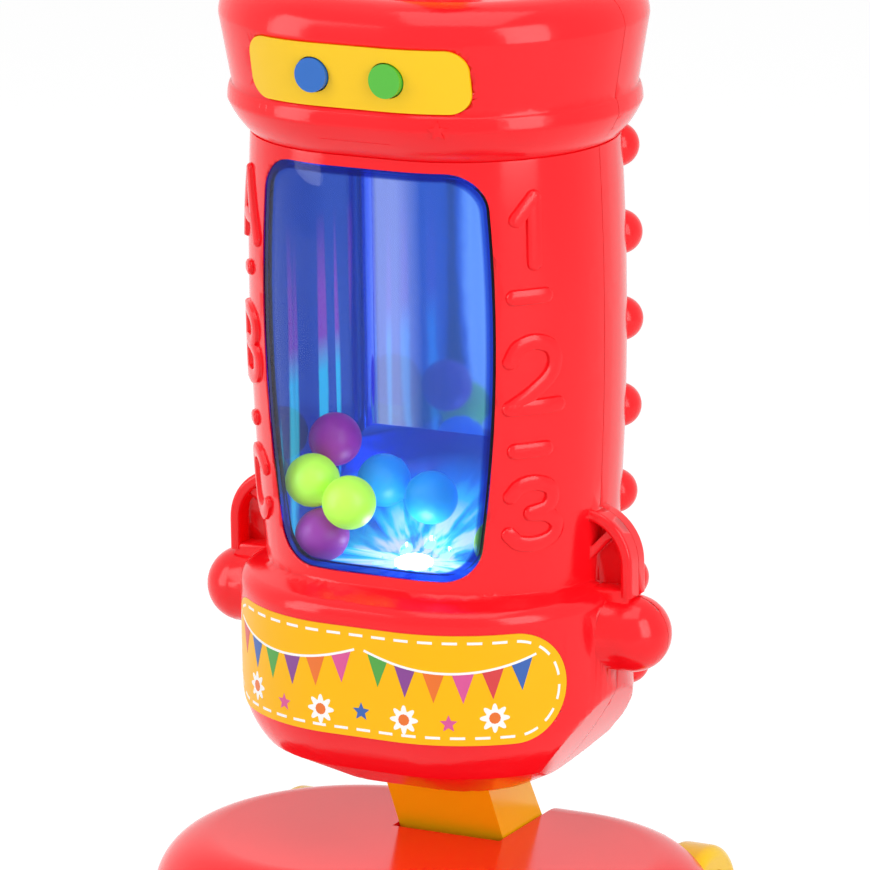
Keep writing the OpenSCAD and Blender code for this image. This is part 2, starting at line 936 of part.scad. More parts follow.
module collar_rear() color(red) at_body() difference() {
    union() {
        collar_half(false);
        intersection() {
            union() {
                at_collar_posts() rear_post(body_span);
                translate([0, speaker_y + speaker_t / 2, speaker_z]) rotate([-90, 0, 0])
                    cylinder(r = speaker_r + clear + speaker_ring, h = body_span);
            }
            collar_solid();
        }
    }
    at_collar_posts() rear_post_hole(body_span);
    intersection() {
        translate([0, 0, speaker_z]) rotate([-90, 0, 0]) cylinder(r = speaker_r + clear, h = body_span);
        collar_cavity();
    }
    translate([0, 0, speaker_z]) rotate([-90, 0, 0]) {
        cylinder(r = sound_hole_r, h = body_span);
        for (i = [0 : sound_count - 1]) rotate([0, 0, i * 360 / sound_count]) translate([sound_ring, 0, 0])
            cylinder(r = sound_hole_r, h = body_span);
    }
}

module speaker() color("dimgray") at_body() translate([0, speaker_y, speaker_z]) rotate([-90, 0, 0]) {
    translate([0, 0, speaker_t / 2]) cylinder(r = speaker_r, h = speaker_t / 2);
    cylinder(r1 = speaker_r / 2, r2 = speaker_r, h = speaker_t / 2);
}

// Ball chamber

module chamber_outline(grow) {
    back = chamber_back + grow;
    half_w = chamber_half + grow;
    corner = liner_corner + grow;
    translate([-half_w, -body_span]) square([2 * half_w, body_span + chamber_back - liner_corner]);
    translate([liner_corner - chamber_half, 0]) square([2 * (chamber_half - liner_corner), back]);
    for (side = [-1, 1]) translate([side * (chamber_half - liner_corner), chamber_back - liner_corner])
        circle(r = corner);
}

// Space behind the window pane
module pane_space(gap) oval_sweep(body_flat) drum_section(pane_back + gap, drum_foot, drum_h);

// Everything above the chamber floor, or below it, seen from the side
module floor_profile(drop, height) {
    rotate([90, 0, 90]) linear_extrude(height = 2 * chamber_half + body_span, center = true)
        polygon([[-body_span, floor_low - drop], [floor_bend, floor_low - drop],
            [chamber_back + body_flat,
                floor_low - drop + floor_rise * (chamber_back + body_flat - floor_bend)],
            [chamber_back + body_flat, height], [-body_span, height]]);
}

module chamber_liner() color("lightsteelblue") at_body() intersection() {
    difference() {
        translate([0, 0, floor_low - floor_t])
            linear_extrude(height = liner_top + liner_t - floor_low + floor_t)
            chamber_outline(liner_t);
        translate([0, 0, floor_low - floor_t - overrun])
            linear_extrude(height = liner_top - floor_low + floor_t + overrun) chamber_outline(0);
    }
    pane_space(seat);
}

module chamber_floor() color("lightblue") at_body() difference() {
    intersection() {
        difference() {
            floor_profile(0, -body_span);
            floor_profile(floor_t, -body_span);
        }
        translate([0, 0, -body_span / 2]) linear_extrude(height = body_span) chamber_outline(-seat);
        pane_space(seat);
    }
    translate([0, lens_y, -body_span / 2]) {
        cylinder(r = lens_r + seat, h = body_span);
        for (i = [0 : air_count - 1]) rotate([0, 0, i * 360 / air_count]) translate([0, air_ring, 0])
            cylinder(r = air_hole_r, h = body_span);
    }
}

module led_lens() color("white") at_body() translate([0, lens_y, floor_low]) {
    translate([0, 0, -floor_t]) cylinder(r = lens_r, h = floor_t + lens_t / 2);
    intersection() {
        translate([0, 0, lens_t / 2 + lens_dome - lens_cap_r()]) sphere(r = lens_cap_r());
        translate([0, 0, lens_t / 2]) cylinder(r = lens_r, h = lens_dome);
    }
}

// Radius of the sphere that crowns the lens
function lens_cap_r() = (pow(lens_r, 2) + pow(lens_dome, 2)) / (2 * lens_dome);

module led_board() color("green") at_body() translate([0, lens_y, floor_low - floor_t - led_board_gap]) {
    translate([0, 0, -board_t]) cylinder(r = led_board_r, h = board_t);
    cylinder(r = led_r, h = led_board_gap - seat);
}

// Height of the chamber floor at a depth
function floor_at(y) = floor_low + max(0, y - floor_bend) * floor_rise;

module ball(i) {
    place = ball_shares[i];
    y = place[1] * chamber_back;
    color(ball_inks[i]) at_body()
        translate([place[0] * chamber_half, y, floor_at(y) + place[2] * ball_r]) sphere(r = ball_r);
}

module ball_1() ball(0);
module ball_2() ball(1);
module ball_3() ball(2);
module ball_4() ball(3);
module ball_5() ball(4);
module ball_6() ball(5);
module ball_7() ball(6);
module ball_8() ball(7);

// Blower under the chamber

module blower_housing() color("gray") at_body() difference() {
    translate([0, blower_y, blower_floor])
        cylinder(r = blower_r + blower_wall, h = blower_rise - blower_floor);
    translate([0, blower_y, blower_floor + blower_floor_t])
        cylinder(r = blower_r, h = blower_rise - blower_floor);
    translate([0, blower_y, blower_floor - overrun])
        cylinder(r = motor_neck_r + seat, h = blower_floor_t + 2 * overrun);
    floor_profile(floor_t + seat, body_span);
}

module fan_impeller() color("white") at_body() translate([0, blower_y, fan_low]) difference() {
    union() {
        cylinder(r = fan_r, h = fan_plate);
        cylinder(r = fan_hub_r, h = fan_h);
        for (i = [0 : blade_count - 1]) rotate([0, 0, i * 360 / blade_count])
            translate([fan_hub_r - blade_t, 0, 0])
            rotate([0, 0, blade_turn]) translate([0, -blade_t / 2, 0])
                cube([(fan_r - fan_hub_r) * blade_share, blade_t, fan_h]);
    }
    translate([0, 0, -overrun]) cylinder(r = shaft_r, h = shaft_top - fan_low + overrun);
}

module motor_shaft() color("silver") at_body() translate([0, blower_y, shaft_low])
    cylinder(r = shaft_r, h = shaft_top - shaft_low);

module motor() color("silver") at_body() translate([0, blower_y, motor_top]) difference() {
    union() {
        translate([0, 0, -motor_h]) cylinder(r = motor_r, h = motor_h);
        cylinder(r = motor_neck_r, h = motor_neck_h);
    }
    translate([0, 0, shaft_low - motor_top - run_fit]) cylinder(r = shaft_r + run_fit, h = motor_h);
}

// Batteries

module at_cells() {
    for (i = [0 : cell_count - 1])
        translate([(i - (cell_count - 1) / 2) * cell_pitch, cell_y, tray_z]) children();
}

module battery_tray() color("darkslategray") at_body() difference() {
    translate([-tray_half, tray_y, tray_z]) cube([2 * tray_half, tray_deep, tray_h]);
    translate([tray_wall - tray_half, tray_y + tray_wall, tray_z + tray_wall])
        cube([2 * (tray_half - tray_wall), tray_deep, tray_h - 2 * tray_wall]);
}

module battery_cells() color("goldenrod") at_body() at_cells()
    translate([0, 0, (tray_h - cell_l) / 2]) cylinder(r = cell_r, h = cell_l);

module battery_contacts() color("silver") at_body() at_cells()
    for (z = [tray_wall, tray_h - tray_wall - contact_t]) translate([0, 0, z])
        cylinder(r = contact_r, h = contact_t);

// Neck and handle

module neck_profile() {
    polygon([[neck_front, neck_top], [neck_rear, neck_top], [neck_rear, boss_bottom],
        [hinge_body_y + knuckle_reach, hinge_body_z + knuckle_r * knuckle_back_share],
        [hinge_body_y - knuckle_reach, hinge_body_z - knuckle_r * knuckle_back_share],
        [neck_front, boss_bottom]]);
    translate([hinge_body_y, hinge_body_z]) circle(r = knuckle_r);
}

module neck_hole() {
    translate([-neck_w / 2 - seat, neck_front - seat, boss_bottom - overrun])
        cube([neck_w + 2 * seat, neck_rear - neck_front + 2 * seat, wall + 2 * overrun]);
}

module neck() color(yellow) at_body() difference() {
    union() {
        rotate([90, 0, 90]) linear_extrude(height = neck_w, center = true) neck_profile();
        translate([-neck_w / 2 - neck_flange, neck_front, neck_top])
            cube([neck_w + 2 * neck_flange, neck_rear - neck_front, neck_flange_t]);
    }
    translate([-neck_w, hinge_body_y, hinge_body_z]) rotate([0, 90, 0])
        cylinder(r = pin_r + run_fit, h = 2 * neck_w);
}

module handle_tube() color(yellow) translate([0, body_y, tube_low]) difference() {
    cylinder(r = tube_r, h = tube_top - tube_low);
    translate([0, 0, -overrun]) cylinder(r = tube_r - tube_wall, h = tube_top - tube_low + 2 * overrun);
}

// Closed bow of the grip, round in section
module grip_solid() {
    translate([0, body_y, 0]) {
        translate([0, 0, grip_bend_top]) grip_bend();
        translate([0, 0, grip_bend_low]) rotate([180, 0, 0]) grip_bend();
        for (side = [-1, 1]) translate([0, side * bow_r, grip_bend_low])
            cylinder(r = bar_r, h = grip_straight);
        translate([0, 0, grip_foot - grip_socket_h]) rotate_extrude() grip_socket_section();
    }
}

// Half ring at an end of the bow
module grip_bend() rotate([90, 0, 90]) rotate_extrude(angle = 180) translate([bow_r, 0]) circle(r = bar_r);

// Sleeve below the bow, with a rounded upper edge
module grip_socket_section() {
    square([grip_socket_r, grip_socket_h - grip_socket_round]);
    square([grip_socket_r - grip_socket_round, grip_socket_h]);
    translate([grip_socket_r - grip_socket_round, grip_socket_h - grip_socket_round])
        circle(r = grip_socket_round);
}

module at_grip_screws() {
    for (place = grip_screw_places) translate([0, body_y + place[0], place[1]]) rotate([0, 0, 90]) children();
}

module grip_half(side) {
    difference() {
        intersection() {
            grip_solid();
            translate([side > 0 ? grip_split / 2 : -body_span, -body_span, 0])
                cube([body_span - (side > 0 ? 0 : grip_split / 2), 2 * body_span, handle_top + overrun]);
        }
        translate([0, body_y, tube_low]) cylinder(r = tube_r + seat, h = tube_top - tube_low + seat);
        at_grip_screws() {
            translate([0, -grip_screw_l / 2, 0]) rotate([-90, 0, 0])
                cylinder(r = screw_r + seat, h = grip_screw_l);
            translate([0, -grip_screw_l / 2, 0]) rotate([90, 0, 0])
                cylinder(r = screw_head_r + seat, h = bar_r);
        }
    }
}

module grip_left() color(red) grip_half(-1);

module grip_right() color(red) grip_half(1);

module grip_screws() color("silver") at_grip_screws() translate([0, -grip_screw_l / 2, 0])
    screw(grip_screw_l - seat);

// Floor head

module head_section(inset) {
    bend_x = head_r - head_round;
    bend_z = head_top - head_round;
    translate([0, head_low]) square([head_r - inset, bend_z - head_low]);
    intersection() {
        translate([bend_x, bend_z]) circle(r = head_round - inset);
        translate([0, bend_z]) square([head_r, head_round]);
    }
    translate([0, bend_z]) square([bend_x, head_round - inset]);
}

module head_solid() oval_sweep(head_flat) head_section(0);

// Wheel-shaped space round an axle end
module wheel_space(gap, from_x) {
    for (side = [0, 1]) mirror([side, 0, 0]) translate([from_x, axle_y, axle_z]) rotate([0, 90, 0])
        cylinder(r = wheel_r + gap, h = body_span);
}

module head_shell() color(red) difference() {
    union() {
        difference() {
            head_solid();
            oval_sweep(head_flat) head_section(head_wall);
            translate([0, 0, head_low]) oval_cut();
        }
        intersection() {
            union() {
                for (side = [0, 1]) mirror([side, 0, 0])
                    translate([channel_half, cheek_front - head_wall, head_low])
                        cube([cheek_t, cheek_rear - cheek_front + head_wall, head_top]);
                translate([-channel_half, cheek_front - head_wall, head_low])
                    cube([2 * channel_half, head_wall, head_top]);
                wheel_space(well_gap + well_wall, wheel_x - well_gap - well_wall);
                for (place = base_screw_places) translate([place[0], place[1], head_low])
                    cylinder(r = base_post_r, h = head_top);
            }
            head_solid();
        }
    }
    translate([-channel_half, cheek_front, 0]) cube([2 * channel_half, body_span, body_span]);
    wheel_space(well_gap, wheel_x - well_gap);
    translate([-pin_l, hinge_y, hinge_z]) rotate([0, 90, 0]) cylinder(r = pin_r + run_fit, h = 2 * pin_l);
    translate([-axle_l, axle_y, axle_z]) rotate([0, 90, 0]) cylinder(r = axle_r + run_fit, h = 2 * axle_l);
    for (place = base_screw_places) translate([place[0], place[1], 0])
        cylinder(r = screw_r + seat, h = base_low + screw_head_t + base_screw_l);
}

// Open underside of the head
module oval_cut() {
    translate([0, 0, -overrun]) oval_band(head_r - head_wall, 2 * overrun);
}

module oval_band(end_r, height) {
    for (side = [-1, 1]) translate([side * head_flat, 0, 0]) cylinder(r = end_r, h = height);
    translate([-head_flat, -end_r, 0]) cube([2 * head_flat, 2 * end_r, height]);
}

module head_base() color(yellow) difference() {
    translate([0, 0, base_low]) oval_band(head_r, base_t);
    wheel_space(well_gap, wheel_x - well_gap);
    for (place = base_screw_places) translate([place[0], place[1], 0]) {
        cylinder(r = screw_r + seat, h = head_low + overrun);
        cylinder(r = screw_head_r + seat, h = base_low + screw_head_t);
    }
}

module bumper() color(yellow) intersection() {
    translate([0, 0, bumper_low]) difference() {
        oval_band(head_r + bumper_t, bumper_h);
        translate([0, 0, -overrun]) oval_band(head_r + seat, bumper_h + 2 * overrun);
    }
    translate([-body_span, -body_span, 0]) cube([2 * body_span, body_span, head_top]);
}

module hinge_pin() color("silver") translate([-pin_l / 2, hinge_y, hinge_z]) rotate([0, 90, 0])
    cylinder(r = pin_r, h = pin_l);

module rear_axle() color("silver") translate([-axle_l / 2, axle_y, axle_z]) rotate([0, 90, 0])
    cylinder(r = axle_r, h = axle_l);

module axle_caps() color(red) for (side = [0, 1]) mirror([side, 0, 0])
    translate([wheel_x + wheel_w + cap_gap, axle_y, axle_z]) rotate([0, 90, 0]) difference() {
        intersection() {
            cylinder(r = cap_r, h = cap_t);
            translate([0, 0, cap_t - cap_dome_r()]) sphere(r = cap_dome_r());
        }
        translate([0, 0, -overrun])
            cylinder(r = axle_r, h = axle_l / 2 - wheel_x - wheel_w - cap_gap + overrun);
    }

// Radius of the dome of an axle cap
function cap_dome_r() = (pow(cap_r, 2) + pow(cap_t / 2, 2)) / cap_t;

module wheel() {
    translate([wheel_x, axle_y, axle_z]) rotate([0, 90, 0]) difference() {
        rotate_extrude() wheel_section();
        for (i = [0 : spoke_count - 1]) rotate([0, 0, i * 360 / spoke_count])
            translate([spoke_ring, 0, -overrun]) cylinder(r = spoke_hole_r, h = wheel_w + 2 * overrun);
    }
}

// Rounded tread, stepped hub and bore
module wheel_section() {
    crown = wheel_w / 4;
    bore = axle_r + run_fit;
    translate([bore, hub_step]) square([hub_r - bore, wheel_w - 2 * hub_step]);
    translate([bore, 0]) square([cap_r - bore, wheel_w]);
    translate([hub_r, 0]) square([wheel_r - crown - hub_r, wheel_w]);
    translate([wheel_r - crown, crown]) square([crown, wheel_w - 2 * crown]);
    for (z = [crown, wheel_w - crown]) translate([wheel_r - crown, z]) circle(r = crown);
}

module wheel_left() color(yellow) mirror([1, 0, 0]) wheel();

module wheel_right() color(yellow) wheel();

module glide_pads() color("dimgray") for (side = [-1, 1])
    translate([side * pad_x, pad_y, 0]) cylinder(r = pad_r, h = base_low);

module base_screws() color("silver") for (place = base_screw_places)
    translate([place[0], place[1], base_low + screw_head_t]) rotate([90, 0, 0]) screw(base_screw_l - seat);

front_shell();
rear_shell();
window();
label_plate();
collar_front();
collar_rear();
collar_panel();
sound_button_left();
sound_button_right();
power_switch();
main_board();
speaker();
chamber_liner();
chamber_floor();
led_lens();
led_board();
ball_1();
ball_2();
ball_3();
ball_4();
ball_5();
ball_6();
ball_7();
ball_8();
blower_housing();
fan_impeller();
motor_shaft();
motor();
battery_tray();
battery_cells();
battery_contacts();
battery_door();
battery_door_screw();
shell_screws();
neck();
handle_tube();
grip_left();
grip_right();
grip_screws();
head_shell();
head_base();
bumper();
hinge_pin();
rear_axle();
axle_caps();
wheel_left();
wheel_right();
glide_pads();
base_screws();
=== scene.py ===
"""Looks of an upright toy vacuum cleaner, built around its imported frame, in metres."""
import math

import bpy
from mathutils import Matrix, Vector


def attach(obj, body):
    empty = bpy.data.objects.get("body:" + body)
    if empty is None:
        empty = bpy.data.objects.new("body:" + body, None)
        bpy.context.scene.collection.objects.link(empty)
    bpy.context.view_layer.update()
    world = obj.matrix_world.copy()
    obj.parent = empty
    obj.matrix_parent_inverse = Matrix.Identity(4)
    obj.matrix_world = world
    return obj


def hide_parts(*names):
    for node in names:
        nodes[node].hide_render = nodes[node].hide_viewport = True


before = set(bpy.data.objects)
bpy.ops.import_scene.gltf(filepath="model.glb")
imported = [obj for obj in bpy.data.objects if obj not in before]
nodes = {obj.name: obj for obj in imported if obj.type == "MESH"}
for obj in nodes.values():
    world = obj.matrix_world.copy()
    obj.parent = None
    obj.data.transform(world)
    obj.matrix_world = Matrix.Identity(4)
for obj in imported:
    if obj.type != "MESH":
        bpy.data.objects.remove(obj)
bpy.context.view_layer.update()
MM, UM = 0.001, 1e-6

# Sizes of the body, as in the part's source
BODY_Y = 10 * MM
CREASE = 160 * MM
FLAT = 13 * MM
DRUM_R, BELLY, BARREL = 58.3 * MM, 101.6 * MM, 1150 * MM
BOSS_R, BOSS_SHIFT = 61.8 * MM, 4.5 * MM
LABEL_Z, LABEL_H, LABEL_LEN = -32.6 * MM, 42 * MM, 161 * MM


# Camera at the photo's angle, on the body axis a little above the crease

def place_camera():
    turn, rise, roll = math.radians(27.7), math.radians(14.48), math.radians(-0.86)
    distance, sideways, aim_height = 2400 * MM, 1.81 * MM, 45.45 * MM
    focal_px, photo_px = 6452.5, 870
    target = Vector((0, BODY_Y, CREASE + aim_height))
    back = Vector((math.sin(turn) * math.cos(rise), -math.cos(turn) * math.cos(rise), math.sin(rise)))
    level = Vector((math.cos(turn), math.sin(turn), 0))
    up = back.cross(level)
    right = math.cos(roll) * level + math.sin(roll) * up
    top = -math.sin(roll) * level + math.cos(roll) * up
    data = bpy.data.cameras.new("camera")
    data.sensor_width = 36.0
    data.lens = focal_px / photo_px * data.sensor_width
    data.clip_start, data.clip_end = 0.05, 50.0
    camera = bpy.data.objects.new("camera", data)
    bpy.context.scene.collection.objects.link(camera)
    camera.matrix_world = (Matrix.Translation(target + back * distance - right * sideways)
                           @ Matrix((right, top, back)).transposed().to_4x4())
    bpy.context.scene.camera = camera


# Materials

def linear(code):
    """Linear colour of an sRGB hex value."""
    parts = [int(code[i:i + 2], 16) / 255 for i in (1, 3, 5)]
    return [c / 12.92 if c <= 0.04045 else ((c + 0.055) / 1.055) ** 2.4 for c in parts] + [1.0]


def add(tree, kind, settings=(), links=()):
    """A new node with its settings and incoming links."""
    node = tree.nodes.new("ShaderNode" + kind)
    for key, value in dict(settings).items():
        if isinstance(key, int) or key in node.inputs:
            node.inputs[key].default_value = value
        else:
            setattr(node, key, value)
    for key, socket in dict(links).items():
        tree.links.new(socket, node.inputs[key])
    return node


def new_tree(name):
    """A new material with an empty node tree."""
    material = bpy.data.materials.new(name)
    material.use_nodes = True
    material.node_tree.nodes.clear()
    return material, material.node_tree


ABS_IOR = 1.53


def moulded(name, colour, shade, rough, ripple_mm=5.0, ripple_um=6.0, flow_mm=45.0, **settings):
    """Injection-moulded plastic: even colour with faint flow marks, and a slight ripple that softens
    reflections."""
    smoothest, roughest = rough * 0.8, rough * 1.25
    material, tree = new_tree(name)
    place = add(tree, "TexCoord").outputs["Object"]
    flow = add(tree, "TexNoise", {"Scale": 1 / (flow_mm * MM), "Detail": 3.0}, {"Vector": place})
    ripple = add(tree, "TexNoise", {"Scale": 1 / (ripple_mm * MM), "Detail": 1.0}, {"Vector": place})
    tint = add(tree, "MixRGB", {"Color1": linear(colour), "Color2": linear(shade)},
               {"Fac": flow.outputs["Fac"]})
    gloss = add(tree, "MapRange", {"To Min": smoothest, "To Max": roughest},
                {"Value": flow.outputs["Fac"]})
    bump = add(tree, "Bump", {"Distance": ripple_um * UM}, {"Height": ripple.outputs["Fac"]})
    shader = add(tree, "BsdfPrincipled", {"IOR": ABS_IOR, **settings},
                 {"Base Color": tint.outputs["Color"], "Roughness": gloss.outputs["Result"],
                  "Normal": bump.outputs["Normal"]})
    add(tree, "OutputMaterial", links={"Surface": shader.outputs["BSDF"]})
    return material


def tinted_pane():
    """Clear blue styrene: mirror-smooth and pale, but dark blue along its thick edge; lets the lamps in. Its
    index is below the real one, so that the thin pane bends the chamber behind it as little as it should."""
    half, bow, belly, corner, rim = 47.9 * MM, 550 * MM, 100 * MM, 15 * MM, 3.3 * MM
    low, high, blur = 5 * MM, 158 * MM, 0.4 * MM
    material, tree = new_tree("clear_blue_styrene")
    place = add(tree, "TexCoord").outputs["Object"]
    ripple = add(tree, "TexNoise", {"Scale": 1 / (30 * MM), "Detail": 1.0}, {"Vector": place})
    bump = add(tree, "Bump", {"Distance": 10 * UM}, {"Height": ripple.outputs["Fac"]})
    # Distance from the bowed, round-cornered outline, seen from the front
    apart = add(tree, "SeparateXYZ", links={0: place})
    rise = add(tree, "Math", {"operation": "SUBTRACT", 1: CREASE + belly}, {0: apart.outputs["Z"]})
    bowed = add(tree, "Math", {"operation": "POWER", 1: 2.0}, {0: rise.outputs[0]})
    reach = add(tree, "Math", {"operation": "MULTIPLY_ADD", 1: -0.5 / bow, 2: half}, {0: bowed.outputs[0]})
    across = add(tree, "Math", {"operation": "ABSOLUTE"}, {0: apart.outputs["X"]})
    aside = add(tree, "Math", {"operation": "SUBTRACT"}, {0: reach.outputs[0], 1: across.outputs[0]})
    level = add(tree, "Math", {"operation": "SUBTRACT", 1: CREASE + (low + high) / 2},
                {0: apart.outputs["Z"]})
    height = add(tree, "Math", {"operation": "ABSOLUTE"}, {0: level.outputs[0]})
    above = add(tree, "Math", {"operation": "SUBTRACT", 0: (high - low) / 2}, {1: height.outputs[0]})
    edges = add(tree, "CombineXYZ", {"Z": corner}, {"X": aside.outputs[0], "Y": above.outputs[0]})
    within = add(tree, "VectorMath", {"operation": "SUBTRACT", 0: (corner, corner, corner)},
                 {1: edges.outputs[0]})
    beyond = add(tree, "VectorMath", {"operation": "MAXIMUM", 1: (0, 0, 0)}, {0: within.outputs[0]})
    depth = add(tree, "VectorMath", {"operation": "LENGTH"}, {0: beyond.outputs[0]})
    edge = add(tree, "MapRange", {"From Min": corner - rim - blur, "From Max": corner - rim + blur},
               {"Value": depth.outputs["Value"]})
    tint = add(tree, "MixRGB", {"Color1": linear("#E2EFFF"), "Color2": linear("#2E55B4")},
               {"Fac": edge.outputs["Result"]})
    glass = add(tree, "BsdfPrincipled", {"Roughness": 0.02, "IOR": 1.25, "Transmission Weight": 1.0},
                {"Base Color": tint.outputs["Color"], "Normal": bump.outputs["Normal"]})
    clear = add(tree, "BsdfTransparent", {"Color": linear("#F0F6FF")})
    path = add(tree, "LightPath")
    mix = add(tree, "MixShader", links={0: path.outputs["Is Shadow Ray"], 1: glass.outputs["BSDF"],
                                        2: clear.outputs["BSDF"]})
    add(tree, "OutputMaterial", links={"Surface": mix.outputs["Shader"]})
    return material


def metallised_wall():
    """Vacuum-metallised styrene walls: a slightly wavy mirror, deep blue at the left and pale at the back,
    with a painted blue glow over them, dim on the left wall and palest near its corner, and upright streaks
    of painted coloured lamp light."""
    pale_end, blue_start, side_start, side_end = -33 * MM, -22 * MM, -40 * MM, -45 * MM
    corner_x, line_edge, line_core = -43.4 * MM, 2.6 * MM, 0.6 * MM
    cyan_top, magenta_foot = CREASE + 66 * MM, CREASE + 80 * MM
    light_full, light_end = CREASE + 96 * MM, CREASE + 128 * MM
    material, tree = new_tree("metallised_styrene_painted_glow")
    place = add(tree, "TexCoord").outputs["Object"]
    apart = add(tree, "SeparateXYZ", links={0: place})
    wave = add(tree, "TexNoise", {"Scale": 1 / (28 * MM), "Detail": 2.0}, {"Vector": place})
    bump = add(tree, "Bump", {"Distance": 60 * UM}, {"Height": wave.outputs["Fac"]})
    # Bands that run up and down the walls
    drawn = add(tree, "Mapping", {"Scale": (1.0, 1.0, 0.04)}, {"Vector": place})
    bands = add(tree, "TexNoise", {"Scale": 1 / (8 * MM), "Detail": 2.0}, {"Vector": drawn.outputs["Vector"]})
    rightward = add(tree, "MapRange", {"From Min": pale_end, "From Max": blue_start},
                    {"Value": apart.outputs["X"]})
    left = add(tree, "MapRange", {"From Min": side_start, "From Max": side_end},
               {"Value": apart.outputs["X"]})
    back = add(tree, "MixRGB", {"Color1": linear("#CCD4F8"), "Color2": linear("#86ACEC")},
               {"Fac": rightward.outputs["Result"]})
    banded = add(tree, "MixRGB", {"Color2": linear("#4F7FCC")}, {"Fac": bands.outputs["Fac"],
                                                                 "Color1": back.outputs["Color"]})
    deep = add(tree, "MixRGB", {"Color2": linear("#14488F")}, {"Fac": left.outputs["Result"],
                                                               "Color1": banded.outputs["Color"]})
    # Streaks of light: cyan low down, magenta higher up, and a blue line in the left corner
    fine = add(tree, "TexNoise", {"Scale": 1 / (5 * MM), "Detail": 0.0}, {"Vector": drawn.outputs["Vector"]})
    lit = add(tree, "MapRange", {"From Min": 0.56, "From Max": 0.7}, {"Value": fine.outputs["Fac"]})
    high = add(tree, "MapRange", {"From Min": cyan_top, "From Max": magenta_foot},
               {"Value": apart.outputs["Z"]})
    faded = add(tree, "MapRange", {"From Min": light_end, "From Max": light_full},
                {"Value": apart.outputs["Z"]})
    hue = add(tree, "MixRGB", {"Color1": linear("#22D8E8"), "Color2": linear("#A0308C")},
              {"Fac": high.outputs["Result"]})
    some = add(tree, "Math", {"operation": "MULTIPLY"},
               {0: lit.outputs["Result"], 1: faded.outputs["Result"]})
    kept = add(tree, "Math", {"operation": "MULTIPLY"}, {0: some.outputs[0], 1: left.outputs["Result"]})
    # Painted glow over the whole wall: pale near the left corner, blue further right, dim on the left wall
    # itself
    painted_glow_pale = add(tree, "MixRGB", {"Color1": linear("#B4BCEC"), "Color2": linear("#2C5CAE")},
                {"Fac": rightward.outputs["Result"]})
    painted_glow_dim = add(tree, "MixRGB", {"Color2": linear("#06306E")}, {"Fac": left.outputs["Result"],
                                                                 "Color1": painted_glow_pale.outputs["Color"]})
    streak = add(tree, "MixRGB", links={"Fac": kept.outputs[0], "Color1": painted_glow_dim.outputs["Color"],
                                        "Color2": hue.outputs["Color"]})
    aside = add(tree, "Math", {"operation": "SUBTRACT", 1: corner_x}, {0: apart.outputs["X"]})
    near = add(tree, "Math", {"operation": "ABSOLUTE"}, {0: aside.outputs[0]})
    corner = add(tree, "MapRange", {"From Min": line_edge, "From Max": line_core}, {"Value": near.outputs[0]})
    glow = add(tree, "MixRGB", {"Color2": linear("#2038F4")}, {"Fac": corner.outputs["Result"],
                                                               "Color1": streak.outputs["Color"]})
    shader = add(tree, "BsdfPrincipled", {"Metallic": 0.85, "Roughness": 0.08, "Emission Strength": 0.6},
                 {"Base Color": deep.outputs["Color"], "Emission Color": glow.outputs["Color"],
                  "Normal": bump.outputs["Normal"]})
    add(tree, "OutputMaterial", links={"Surface": shader.outputs["BSDF"]})
    return material


def metallised_floor():
    """Vacuum-metallised floor: a wavy blue mirror with a fan of white and cyan light round the lamp."""
    lamp, core, reach = (0, BODY_Y - 22 * MM, CREASE + 3 * MM), 10 * MM, 54 * MM
    material, tree = new_tree("metallised_floor_styrene")
    place = add(tree, "TexCoord").outputs["Object"]
    wave = add(tree, "TexNoise", {"Scale": 1 / (16 * MM), "Detail": 2.0}, {"Vector": place})
    bump = add(tree, "Bump", {"Distance": 150 * UM}, {"Height": wave.outputs["Fac"]})
    offset = add(tree, "VectorMath", {"operation": "SUBTRACT", 1: lamp}, {0: place})
    away = add(tree, "VectorMath", {"operation": "LENGTH"}, {0: offset.outputs[0]})
    course = add(tree, "VectorMath", {"operation": "NORMALIZE"}, {0: offset.outputs[0]})
    rays = add(tree, "TexNoise", {"Scale": 5.0, "Detail": 2.0}, {"Vector": course.outputs[0]})
    faded = add(tree, "MapRange", {"From Min": reach, "From Max": core}, {"Value": away.outputs["Value"]})
    uneven = add(tree, "MapRange", {"From Min": 0.35, "From Max": 0.65, "To Min": 0.45, "To Max": 1.2},
                 {"Value": rays.outputs["Fac"]})
    light = add(tree, "Math", {"operation": "MULTIPLY"},
                {0: faded.outputs["Result"], 1: uneven.outputs["Result"]})
    glow = add(tree, "ValToRGB", links={"Fac": light.outputs[0]})
    ramp = glow.color_ramp.elements
    ramp[0].color, ramp[1].color = linear("#0C2C70"), linear("#FFFFFF")
    for where, code in ((0.3, "#1178D8"), (0.55, "#38D0F0"), (0.78, "#D8F8FF")):
        ramp.new(where).color = linear(code)
    shader = add(tree, "BsdfPrincipled",
                 {"Base Color": linear("#7FA8EC"), "Metallic": 0.85, "Roughness": 0.1,
                  "Emission Strength": 0.8},
                 {"Emission Color": glow.outputs["Color"], "Normal": bump.outputs["Normal"]})
    add(tree, "OutputMaterial", links={"Surface": shader.outputs["BSDF"]})
    return material


def lamp_lens():
    """Frosted lens lit from below by a white lamp: an even glow with a fine grain."""
    material, tree = new_tree("lit_frosted_lens")
    place = add(tree, "TexCoord").outputs["Object"]
    frost = add(tree, "TexNoise", {"Scale": 1 / (0.8 * MM), "Detail": 2.0}, {"Vector": place})
    glow = add(tree, "MixRGB", {"Color1": linear("#FFFFFF"), "Color2": linear("#D6F4FF")},
               {"Fac": frost.outputs["Fac"]})
    shader = add(tree, "BsdfPrincipled", {"Roughness": 0.35, "Emission Strength": 22.0},
                 {"Base Color": glow.outputs["Color"], "Emission Color": glow.outputs["Color"]})
    add(tree, "OutputMaterial", links={"Surface": shader.outputs["BSDF"]})
    return material


